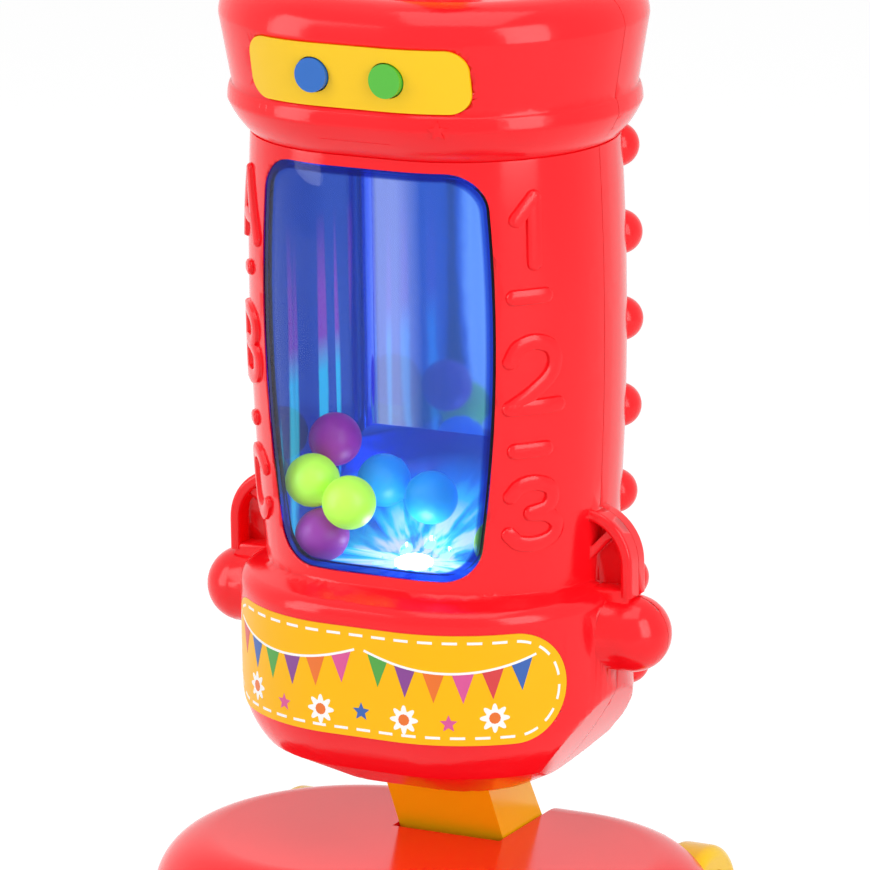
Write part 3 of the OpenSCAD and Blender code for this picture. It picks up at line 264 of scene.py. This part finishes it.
def plated_steel():
    """Zinc-plated steel: grey metal with fine turning marks."""
    material, tree = new_tree("zinc_plated_steel")
    place = add(tree, "TexCoord").outputs["Object"]
    marks = add(tree, "TexNoise", {"Scale": 1 / (0.6 * MM), "Detail": 3.0}, {"Vector": place})
    tint = add(tree, "MixRGB", {"Color1": linear("#B9BBBE"), "Color2": linear("#9A9DA2")},
               {"Fac": marks.outputs["Fac"]})
    gloss = add(tree, "MapRange", {"To Min": 0.25, "To Max": 0.42}, {"Value": marks.outputs["Fac"]})
    shader = add(tree, "BsdfPrincipled", {"Metallic": 1.0},
                 {"Base Color": tint.outputs["Color"], "Roughness": gloss.outputs["Result"]})
    add(tree, "OutputMaterial", links={"Surface": shader.outputs["BSDF"]})
    return material


RED = moulded("red_abs", "#FF1420", "#F8101B", 0.16, **{"Specular IOR Level": 0.32})
YELLOW = moulded("yellow_abs", "#FFD010", "#FBC80C", 0.2, **{"Specular IOR Level": 0.32})
FILM = moulded("printed_vinyl_film", "#FFC008", "#FFBA06", 0.3, ripple_mm=2.0, ripple_um=3.0,
               **{"Specular IOR Level": 0.2})
PANE = tinted_pane()
LINER = metallised_wall()
FLOOR_LINER = metallised_floor()
LENS = lamp_lens()
BOARD = moulded("green_solder_mask", "#1B6B3A", "#145A30", 0.4, ripple_mm=1.0, ripple_um=8.0)
STEEL = plated_steel()
BLACK = moulded("black_abs", "#1A1A1C", "#121214", 0.45, ripple_mm=0.8, ripple_um=12.0)
# The milky blower housing glows with a painted pale blue light
MILKY = moulded("milky_styrene_painted_glow", "#E4ECF4", "#D8E4F0", 0.45,
                **{"Emission Color": linear("#B4E4FF"), "Emission Strength": 0.6})
WHITE = moulded("white_polypropylene", "#F0F0EE", "#E6E6E4", 0.4)
BLUE = moulded("blue_abs", "#1F6FCB", "#1A62B8", 0.2)
GREEN = moulded("green_abs", "#58C43A", "#4BB32F", 0.2)
# The foam balls glow with a painted light in their own colour, which brightens their unlit sides
PURPLE_BALL, LIME_BALL, BLUE_BALL = (
    moulded(f"{name}_foam", colour, shade, 0.42, ripple_mm=1.2, ripple_um=20.0,
            **{"Emission Color": linear(colour), "Emission Strength": 0.22})
    for name, colour, shade in (("purple", "#A0108C", "#8C0C7C"), ("lime", "#CCFA38", "#C0F02C"),
                                ("blue", "#12A6EE", "#0E98DC")))
JACKET = moulded("printed_cell_jacket", "#C79A2E", "#B98B22", 0.3)
RUBBER = moulded("dark_rubber", "#2C2C2E", "#232325", 0.7, ripple_mm=0.8, ripple_um=20.0)

FINISHES = [
    (RED, "front_shell rear_shell collar_front collar_rear battery_door grip_left grip_right head_shell "
          "axle_caps"),
    (YELLOW, "collar_panel neck handle_tube head_base bumper wheel_left wheel_right"),
    (FILM, "label_plate"),
    (PANE, "window"),
    (LINER, "chamber_liner"),
    (FLOOR_LINER, "chamber_floor"),
    (LENS, "led_lens"),
    (BOARD, "main_board led_board"),
    (STEEL, "motor motor_shaft battery_contacts battery_door_screw shell_screws grip_screws hinge_pin "
            "rear_axle base_screws"),
    (BLACK, "power_switch speaker battery_tray"),
    (MILKY, "blower_housing"),
    (WHITE, "fan_impeller"),
    (BLUE, "sound_button_left"),
    (GREEN, "sound_button_right"),
    (PURPLE_BALL, "ball_1 ball_2"),
    (LIME_BALL, "ball_3 ball_4 ball_7"),
    (BLUE_BALL, "ball_5 ball_6 ball_8"),
    (JACKET, "battery_cells"),
    (RUBBER, "glide_pads"),
]
for finish, names in FINISHES:
    for name in names.split():
        nodes[name].data.materials.clear()
        nodes[name].data.materials.append(finish)


# Surfaces that the raised and printed pieces follow

ARC_R = 57 * MM


def on_drum(arc, height, out):
    """Point of the drum at a height above the crease and a length round from the front, taken at ARC_R."""
    radius = DRUM_R - BARREL + math.sqrt(BARREL ** 2 - (height - BELLY) ** 2) + out
    turn = max(abs(arc) - FLAT, 0) / ARC_R
    across = min(abs(arc), FLAT) + radius * math.sin(turn)
    return Vector((math.copysign(across, arc), BODY_Y - radius * math.cos(turn), CREASE + height))


def on_label(arc, height, out):
    """Point of the sticker at a length round from its middle and a height above its middle."""
    turn = max(abs(arc) - FLAT, 0) / BOSS_R
    radius = BOSS_R + out
    across = min(abs(arc), FLAT) + radius * math.sin(turn)
    return Vector((math.copysign(across, arc), BODY_Y - BOSS_SHIFT - radius * math.cos(turn),
                   CREASE + LABEL_Z + height))


def wrap(piece, surface):
    """Lays a flat piece on a surface."""
    for vertex in piece.data.vertices:
        vertex.co = surface(*vertex.co)


def deselect():
    """Leaves edit mode and selects nothing."""
    if bpy.context.object and bpy.context.object.mode != "OBJECT":
        bpy.ops.object.mode_set(mode="OBJECT")
    bpy.ops.object.select_all(action="DESELECT")


def pick(piece):
    """Selects one piece alone and makes it the active one."""
    deselect()
    piece.select_set(True)
    bpy.context.view_layer.objects.active = piece


def join(pieces, name):
    """Makes one named piece of several."""
    pick(pieces[0])
    for piece in pieces:
        piece.select_set(True)
    if len(pieces) > 1:
        bpy.ops.object.join()
    pieces[0].name = pieces[0].data.name = name
    return pieces[0]


SMOOTH_ANGLE = math.radians(35)
MERGE_GAP = 1e-6


def mount(piece, material, body):
    """Finishes a new piece and fixes it to its body."""
    piece.data.materials.clear()
    piece.data.materials.append(material)
    pick(piece)
    bpy.ops.object.mode_set(mode="EDIT")
    bpy.ops.mesh.select_all(action="SELECT")
    bpy.ops.mesh.remove_doubles(threshold=MERGE_GAP)
    bpy.ops.mesh.normals_make_consistent(inside=False)
    bpy.ops.object.mode_set(mode="OBJECT")
    bpy.ops.object.shade_smooth_by_angle(angle=SMOOTH_ANGLE)
    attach(piece, body)


# Raised characters on the flanks of the drum

STROKE_HALF = 3 * MM
STROKE_RISE = 1.6 * MM
STROKE_SQUARING = 1.5
STROKE_END_TURNS = (0.35, 0.7, 1.0, 1.25, 1.45, 1.55)


def smooth_path(points, steps=7, straight_steps=12):
    """Points of a smooth line through the given ones, and of a straight run if there are only two."""
    if len(points) == 2:
        return [Vector(points[0]).lerp(Vector(points[1]), i / straight_steps)
                for i in range(straight_steps + 1)]
    line = [Vector(p) for p in points]
    line = [2 * line[0] - line[1], *line, 2 * line[-1] - line[-2]]
    path = []
    for a, b, c, d in zip(line, line[1:], line[2:], line[3:]):
        for i in range(steps):
            t = i / steps
            path.append(0.5 * (2 * b + (c - a) * t + (2 * a - 5 * b + 4 * c - d) * t ** 2
                               + (3 * b - a - 3 * c + d) * t ** 3))
    return [*path, line[-2]]


def raised_stroke(points):
    """Round-ended bar along a line, flattened to a low ridge with a level top, still straight."""
    path = smooth_path(points)
    ends = []
    for tip, inner in ((path[0], path[1]), (path[-1], path[-2])):
        away = (tip - inner).normalized() * STROKE_HALF / MM
        ends.append([(tip + away * math.sin(a), math.cos(a)) for a in STROKE_END_TURNS])
    course = [*reversed(ends[0]), *((p, 1.0) for p in path), *ends[1]]
    data = bpy.data.curves.new("stroke", "CURVE")
    data.dimensions = "3D"
    data.bevel_depth = STROKE_HALF
    data.bevel_resolution = 4
    data.use_fill_caps = True
    spline = data.splines.new("POLY")
    spline.points.add(len(course) - 1)
    for point, (place, radius) in zip(spline.points, course):
        point.co = (place[0] * MM, place[1] * MM, 0, 1)
        point.radius = radius
    stroke = bpy.data.objects.new("stroke", data)
    bpy.context.scene.collection.objects.link(stroke)
    pick(stroke)
    bpy.ops.object.convert(target="MESH")
    for vertex in stroke.data.vertices:
        vertex.co.z = STROKE_RISE * max(-1, min(1, STROKE_SQUARING * vertex.co.z / STROKE_HALF))
    return stroke


# Lines of each character in millimetres: length round the drum from the front, height above the crease
CHARACTERS = {
    "raised_one": [[(57.6, 140.6), (64.2, 148.2)], [(64.2, 148.2), (64.2, 124.4)]],
    "raised_two": [[(54.6, 88.4), (57.6, 93.4), (63.6, 95.2), (69.8, 92.9), (71.8, 87.4), (69.4, 81.8),
                    (62.2, 75.8), (54.4, 70.8)], [(54.4, 70.8), (73.2, 70.8)]],
    "raised_three": [[(54.6, 37.6), (58, 41.2), (64, 42.2), (69.8, 39.9), (71, 35.7), (68.4, 32.1),
                      (62.5, 30.6)],
                     [(62.5, 30.6), (69.5, 29.3), (73.4, 25.2), (71.6, 20.9), (65, 18.8), (58, 19.6),
                      (54, 23)]],
    "raised_dash_high": [[(56.2, 112), (68.2, 112)]],
    "raised_dash_low": [[(56.2, 54.7), (68.2, 54.7)]],
    "raised_letter_a": [[(-73.5, 124.4), (-64, 148.2)], [(-64, 148.2), (-54.5, 124.4)],
                        [(-70, 132), (-58, 132)]],
    "raised_letter_b": [[(-72.5, 70.8), (-72.5, 95.2)],
                        [(-72.5, 95.2), (-64.5, 95.2), (-58.8, 92.8), (-57.6, 88.8), (-60, 84.8), (-65, 83.4),
                         (-72.5, 83.4)],
                        [(-72.5, 83.4), (-63.8, 83.4), (-57.2, 81.2), (-55.2, 77), (-57.2, 72.7), (-63, 70.8),
                         (-72.5, 70.8)]],
    "raised_letter_c": [[(-54.8, 37.4), (-58.5, 41), (-64.5, 42.2), (-70.5, 39.6), (-73.6, 34.5), (-74, 29.5),
                         (-72.4, 24), (-67.5, 19.8), (-61.5, 18.8), (-56.8, 20.8), (-54.6, 23.6)]],
    "raised_dot_high": [[(-65, 112), (-63, 112)]],
    "raised_dot_low": [[(-65, 54.7), (-63, 54.7)]],
}
for name, strokes in CHARACTERS.items():
    character = join([raised_stroke(points) for points in strokes], name)
    wrap(character, on_drum)
    mount(character, RED, "upper_body")


# Shells whose soft forms are shaped here from copies of the plainer solids

def shell_copy(node, name, heights):
    """Merged copy of a shell with rows of points at the given heights above the crease."""
    piece = bpy.data.objects.new(name, nodes[node].data.copy())
    piece.data.name = name
    bpy.context.scene.collection.objects.link(piece)
    pick(piece)
    bpy.ops.object.mode_set(mode="EDIT")
    bpy.ops.mesh.select_all(action="SELECT")
    bpy.ops.mesh.remove_doubles(threshold=MERGE_GAP)
    for height in heights:
        bpy.ops.mesh.select_all(action="SELECT")
        bpy.ops.mesh.bisect(plane_co=(0, 0, CREASE + height), plane_no=(0, 0, 1))
    bpy.ops.object.mode_set(mode="OBJECT")
    return piece


def shell_finish(piece, node):
    """Smooths a reshaped shell, fixes it to the upper body and hides its node."""
    pick(piece)
    bpy.ops.object.shade_smooth_by_angle(angle=SMOOTH_ANGLE)
    even = piece.modifiers.new("even_normals", "WEIGHTED_NORMAL")
    even.keep_sharp = True
    bpy.ops.object.modifier_apply(modifier=even.name)
    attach(piece, "upper_body")
    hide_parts(node)


COLLAR_FOOT, COLLAR_R = 61.06 * MM, 67.5 * MM
COLLAR_LOW, COLLAR_HIGH = 168.6 * MM, 206 * MM
BOWL_R, BOWL_WIDE, BOWL_Z = 36.3 * MM, 67.7 * MM, 188.6 * MM
BOWL_TOP, LIP_TOP = 174.5 * MM, 180.5 * MM
COLLAR_BORE, COLLAR_SKIN = 55.5 * MM, 1.3 * MM
COLLAR_CUTS = [162.05 * MM, *((162.5 + 0.75 * i) * MM for i in range(25))]


def collar_side(height):
    """End radius of the plain flared side of the collar."""
    return COLLAR_FOOT + (COLLAR_R - COLLAR_FOOT) * (height - COLLAR_LOW) / (COLLAR_HIGH - COLLAR_LOW)


def collar_edge(height):
    """End radius of the collar: a bowl from the drum up to a soft brow, then the flared side."""
    bowl = BOWL_WIDE - BOWL_R + math.sqrt(BOWL_R ** 2 - (min(height, BOWL_TOP) - BOWL_Z) ** 2)
    if height <= BOWL_TOP:
        return bowl
    t = min((height - BOWL_TOP) / (LIP_TOP - BOWL_TOP), 1.0)
    rounded = math.sqrt(max(1 - t * t, 0.0))
    return max(collar_side(height), collar_side(LIP_TOP) + (bowl - collar_side(LIP_TOP)) * rounded)


def shape_collar(node, name):
    """Collar half whose lower side swells like a bowl; its inner wall stays."""
    piece = shell_copy(node, name, COLLAR_CUTS)
    for vertex in piece.data.vertices:
        height = vertex.co.z - CREASE
        if height > LIP_TOP:
            continue
        across = max(abs(vertex.co.x) - FLAT, 0)
        run = math.hypot(across, vertex.co.y - BODY_Y)
        if run < COLLAR_BORE or (height > COLLAR_LOW and run < collar_side(height) - COLLAR_SKIN):
            continue
        share = collar_edge(height) / run
        vertex.co.x = math.copysign(min(abs(vertex.co.x), FLAT) + across * share, vertex.co.x)
        vertex.co.y = BODY_Y + (vertex.co.y - BODY_Y) * share
    shell_finish(piece, node)


shape_collar("collar_front", "collar_front_moulding")
shape_collar("collar_rear", "collar_rear_moulding")


CHIN_R, CHIN_Z, CHIN_FLOOR = 37 * MM, -45 * MM, -82 * MM
FLANK_R, FLANK_SHIFT, FLANK_Z = 148 * MM, -56.3 * MM, 26.4 * MM
SLANT_FOOT, SLANT_END, SLANT = 27 * MM, 53 * MM, 0.506
SHELL_WALL = 2.5 * MM
BOSS_SHAPED, BOSS_HIDDEN = -42 * MM, -41 * MM
BOSS_CUTS = [-2 * i * MM for i in range(21, 41)]
BOSS_SLICES = [BODY_Y + 3 * i * MM for i in range(-20, 20)]


def shape_boss(node, name):
    """Shell half whose boss narrows between bowed flanks and ends in a slanting chin."""
    piece = shell_copy(node, name, BOSS_CUTS)
    for face in piece.data.polygons:
        face.select = face.center.z < CREASE + BOSS_HIDDEN
    bpy.ops.object.mode_set(mode="EDIT")
    bpy.ops.mesh.hide(unselected=True)
    for back in BOSS_SLICES:
        bpy.ops.mesh.select_all(action="SELECT")
        bpy.ops.mesh.bisect(plane_co=(0, back, 0), plane_no=(0, 1, 0))
    bpy.ops.mesh.reveal()
    bpy.ops.object.mode_set(mode="OBJECT")
    for vertex in piece.data.vertices:
        height = vertex.co.z - CREASE
        if height > BOSS_SHAPED:
            continue
        run = math.hypot(max(abs(vertex.co.x) - FLAT, 0), vertex.co.y - BODY_Y + BOSS_SHIFT)
        drop = min(max(CHIN_Z - height, 0), CHIN_R)
        outer = run > BOSS_R - CHIN_R + math.sqrt(CHIN_R ** 2 - drop ** 2) - SHELL_WALL / 2
        inset = 0 if outer else SHELL_WALL
        if SLANT_FOOT < run < SLANT_END:
            height = max(height, CHIN_FLOOR + inset + SLANT * (run + inset / 2 - SLANT_FOOT))
        flank = FLANK_SHIFT + math.sqrt((FLANK_R - inset) ** 2 - (height - FLANK_Z) ** 2)
        vertex.co.x = math.copysign(min(abs(vertex.co.x), flank), vertex.co.x)
        vertex.co.z = CREASE + height
    shell_finish(piece, node)


shape_boss("front_shell", "front_shell_moulding")
shape_boss("rear_shell", "rear_shell_moulding")


ARM_FLOOR_OUT, ARM_FLOOR_Y, ARM_FLOOR_Z = 74.4 * MM, BODY_Y - 5.5 * MM, CREASE - 5.8 * MM
ARM_FLOOR_SIZE, ARM_FLOOR_ROUND = (17 * MM, 12 * MM, 6.8 * MM), 1.5 * MM


def arm_floor(side):
    """Rounded block that closes the pocket of an arm above its knob."""
    deselect()
    bpy.ops.mesh.primitive_cube_add(size=1, location=(side * ARM_FLOOR_OUT, ARM_FLOOR_Y, ARM_FLOOR_Z))
    piece = bpy.context.object
    piece.scale = ARM_FLOOR_SIZE
    bpy.ops.object.transform_apply(location=True, rotation=True, scale=True)
    bpy.ops.object.mode_set(mode="EDIT")
    bpy.ops.mesh.select_all(action="SELECT")
    bpy.ops.mesh.bevel(offset=ARM_FLOOR_ROUND, segments=4)
    bpy.ops.object.mode_set(mode="OBJECT")
    piece.name = piece.data.name = "arm_floor_right" if side > 0 else "arm_floor_left"
    mount(piece, RED, "upper_body")


arm_floor(-1)
arm_floor(1)


# Star on the collar and print of the sticker, cut as thin plates and laid on their surfaces

def on_collar(arc, height, out):
    """Point of the collar at a length round from the front and a height above the crease."""
    radius = collar_edge(height)
    turn = max(abs(arc) - FLAT, 0) / radius
    across = min(abs(arc), FLAT) + (radius + out) * math.sin(turn)
    return Vector((math.copysign(across, arc), BODY_Y - (radius + out) * math.cos(turn), CREASE + height))


def plate(outline, low, high, step=2.0):
    """Flat plate with an outline in millimetres, cut across so that it can follow a round surface."""
    deselect()
    bpy.ops.mesh.primitive_circle_add(vertices=len(outline), radius=MM, fill_type="NGON")
    piece = bpy.context.object
    for vertex, (across, up) in zip(piece.data.vertices, outline):
        vertex.co = (across * MM, up * MM, low * MM)
    left, right = min(p[0] for p in outline), max(p[0] for p in outline)
    bpy.ops.object.mode_set(mode="EDIT")
    for i in range(math.floor(left / step) + 1, math.ceil(right / step)):
        bpy.ops.mesh.select_all(action="SELECT")
        bpy.ops.mesh.bisect(plane_co=(i * step * MM, 0, 0), plane_no=(1, 0, 0))
    bpy.ops.mesh.select_all(action="SELECT")
    bpy.ops.mesh.extrude_region_move(TRANSFORM_OT_translate={"value": (0, 0, (high - low) * MM)})
    bpy.ops.object.mode_set(mode="OBJECT")
    return piece


def star(middle, radius, points=5, share=0.45, turn=math.pi / 2):
    """Outline of a star, with its inner corners at a share of its radius."""
    return [(middle[0] + radius * (share if i % 2 else 1) * math.cos(turn + math.pi * i / points),
             middle[1] + radius * (share if i % 2 else 1) * math.sin(turn + math.pi * i / points))
            for i in range(2 * points)]


def flower(middle, radius, petals=8, corners=96):
    """Outline of a flower with soft petals."""
    lines = []
    for i in range(corners):
        turn = 2 * math.pi * i / corners
        reach = radius * (0.8 + 0.2 * math.cos(petals * turn))
        lines.append((middle[0] + reach * math.cos(turn), middle[1] + reach * math.sin(turn)))
    return lines


def strip(path, half):
    """Outline of a thin strip along a line."""
    sides = ([], [])
    for i, place in enumerate(path):
        before, after = path[max(i - 1, 0)], path[min(i + 1, len(path) - 1)]
        run = Vector((after[0] - before[0], after[1] - before[1])).normalized()
        for side, sign in zip(sides, (1, -1)):
            side.append((place[0] - sign * run.y * half, place[1] + sign * run.x * half))
    return sides[0] + sides[1][::-1]


def stitch_place(length, inset):
    """Point of the line that runs round the sticker inside its edge."""
    end_r = LABEL_H / MM / 2 - inset
    flat_half = (LABEL_LEN - LABEL_H) / MM / 2
    legs = [2 * flat_half, math.pi * end_r] * 2
    leg = 0
    while length > legs[leg]:
        length -= legs[leg]
        leg = (leg + 1) % 4
    sign = 1 if leg < 2 else -1
    if leg % 2 == 0:
        return (sign * (length - flat_half), sign * end_r)
    turn = length / end_r
    return (sign * (flat_half + end_r * math.sin(turn)), sign * end_r * math.cos(turn))


INKS = {name: moulded(f"{name}_ink", colour, shade, 0.3, ripple_mm=2.0, ripple_um=3.0)
        for name, colour, shade in (
            ("white", "#FFFFFF", "#F6F6F2"), ("red", "#DE3A3C", "#D63236"), ("orange", "#F0761C", "#E86C14"),
            ("green", "#4EA83E", "#469E36"), ("blue", "#2D62B6", "#2758AA"), ("purple", "#8B3F96", "#80378B"),
            ("pink", "#E0569A", "#D84C90"))}
SWAG_STARTS, SWAG_SPAN, SWAG_SAG, SWAG_TOP = (-68.0, 2.0), 66.0, 6.0, 12.5
PENNANTS, PENNANT_LEN = 6, 11.5
BLOOMS = [(-52, -10.5), (-16.5, -12), (18, -12), (52, -10.5)]


def printed(name, outlines, material, low=-0.02, high=0.06):
    """One ink of the sticker, as plates of a few hundredths of a millimetre."""
    piece = join([plate(outline, low, high) for outline in outlines], name)
    wrap(piece, on_label)
    mount(piece, material, "upper_body")


def cord_at(start, t):
    """Point of a swag's hanging cord."""
    return (start + SWAG_SPAN * t, SWAG_TOP - SWAG_SAG * 4 * t * (1 - t))


def print_sticker():
    inset, dash, gaps = 3.0, 5.6, 38
    round_trip = 2 * (LABEL_LEN - LABEL_H) / MM + 2 * math.pi * (LABEL_H / MM / 2 - inset)
    pitch = round_trip / gaps
    stitches = [strip([stitch_place(i * pitch + dash * j / 4, inset) for j in range(5)], 0.5)
                for i in range(gaps)]
    printed("sticker_stitches", stitches, INKS["white"])
    # Two swags of pennants hang from a cord, with flowers and stars below
    flags = {name: [] for name in ("red", "blue", "green", "purple", "orange", "pink")}
    cords = []
    colours = list(flags)
    for swag, start in enumerate(SWAG_STARTS):
        cords.append(strip([cord_at(start, i / 30) for i in range(31)], 0.45))
        for i in range(PENNANTS):
            left, right = cord_at(start, (i + 0.12) / PENNANTS), cord_at(start, (i + 0.88) / PENNANTS)
            tip = ((left[0] + right[0]) / 2, (left[1] + right[1]) / 2 - PENNANT_LEN)
            flags[colours[(i + 2 * swag) % len(colours)]].append([left, tip, right])
    for name, outlines in flags.items():
        printed(f"sticker_pennants_{name}", outlines, INKS[name])
    printed("sticker_cords", cords, INKS["white"], high=0.1)
    printed("sticker_petals", [flower(place, 5.6) for place in BLOOMS], INKS["white"], high=0.08)
    printed("sticker_flower_hearts", [star(place, 2.2, points=12, share=0.95) for place in BLOOMS],
            INKS["orange"], high=0.11)
    printed("sticker_stars_pink", [star((-34, -12.5), 3.4), star((35, -12.5), 3.4)], INKS["pink"])
    printed("sticker_stars_blue", [star((0.5, -11), 3.6)], INKS["blue"])


print_sticker()
COLLAR_STAR_AT, COLLAR_STAR_R, COLLAR_STAR_SUNK, COLLAR_STAR_RISE = (33.3, 175.2), 3.8, -0.5, 0.6
collar_star = plate(star(COLLAR_STAR_AT, COLLAR_STAR_R), COLLAR_STAR_SUNK, COLLAR_STAR_RISE)
wrap(collar_star, on_collar)
collar_star.name = collar_star.data.name = "raised_star"
mount(collar_star, RED, "upper_body")


# Studio

def softbox(name, place, aim, size, watts):
    """Soft rectangular lamp."""
    data = bpy.data.lights.new(name, "AREA")
    data.shape, data.size, data.size_y = "RECTANGLE", size[0], size[1]
    data.energy = watts
    lamp = bpy.data.objects.new(name, data)
    bpy.context.scene.collection.objects.link(lamp)
    lamp.location = place
    lamp.rotation_euler = (Vector(place) - Vector(aim)).to_track_quat("Z", "Y").to_euler()


def shown_to(tree):
    """1 for rays that see the background, directly or through gloss and glass, and 0 for rays that light."""
    path = add(tree, "LightPath")
    either = add(tree, "Math", {"operation": "MAXIMUM"},
                 {0: path.outputs["Is Camera Ray"], 1: path.outputs["Is Glossy Ray"]})
    return add(tree, "Math", {"operation": "MAXIMUM"},
               {0: either.outputs[0], 1: path.outputs["Is Transmission Ray"]}).outputs[0]


def studio():
    """Soft lamps, a white surround and a pale floor that keeps the shadow."""
    middle = (0, 0, 0.28)
    softbox("softbox_right", (1.25, -0.55, 0.75), middle, (0.7, 1.3), 11.0)
    softbox("softbox_left", (-1.1, -0.95, 0.7), middle, (0.7, 1.3), 9.5)
    softbox("softbox_top", (0.1, -0.3, 1.7), middle, (1.2, 1.2), 8.0)
    world = bpy.data.worlds.new("studio")
    bpy.context.scene.world = world
    world.use_nodes = True
    tree = world.node_tree
    tree.nodes.clear()
    fill = add(tree, "Background", {"Color": (1, 1, 1, 1), "Strength": 0.45})
    shown = add(tree, "Background", {"Color": (1, 1, 1, 1), "Strength": 1.0})
    mix = add(tree, "MixShader", links={0: shown_to(tree), 1: fill.outputs[0], 2: shown.outputs[0]})
    add(tree, "OutputWorld", links={"Surface": mix.outputs[0]})

    deselect()
    bpy.ops.mesh.primitive_plane_add(size=12)
    floor = bpy.context.object
    floor.name = "floor"
    material, tree = new_tree("pale_paper")
    paper = add(tree, "BsdfDiffuse", {"Color": linear("#E4E4E4")})
    half = add(tree, "BsdfDiffuse", {"Color": linear("#A0A0A0")})
    glow = add(tree, "Emission", {"Color": (1, 1, 1, 1), "Strength": 0.8})
    white = add(tree, "AddShader", links={0: half.outputs[0], 1: glow.outputs[0]})
    mix = add(tree, "MixShader", links={0: shown_to(tree), 1: paper.outputs[0], 2: white.outputs[0]})
    add(tree, "OutputMaterial", links={"Surface": mix.outputs[0]})
    floor.data.materials.append(material)


place_camera()
studio()
bpy.context.scene.view_settings.view_transform = "Standard"
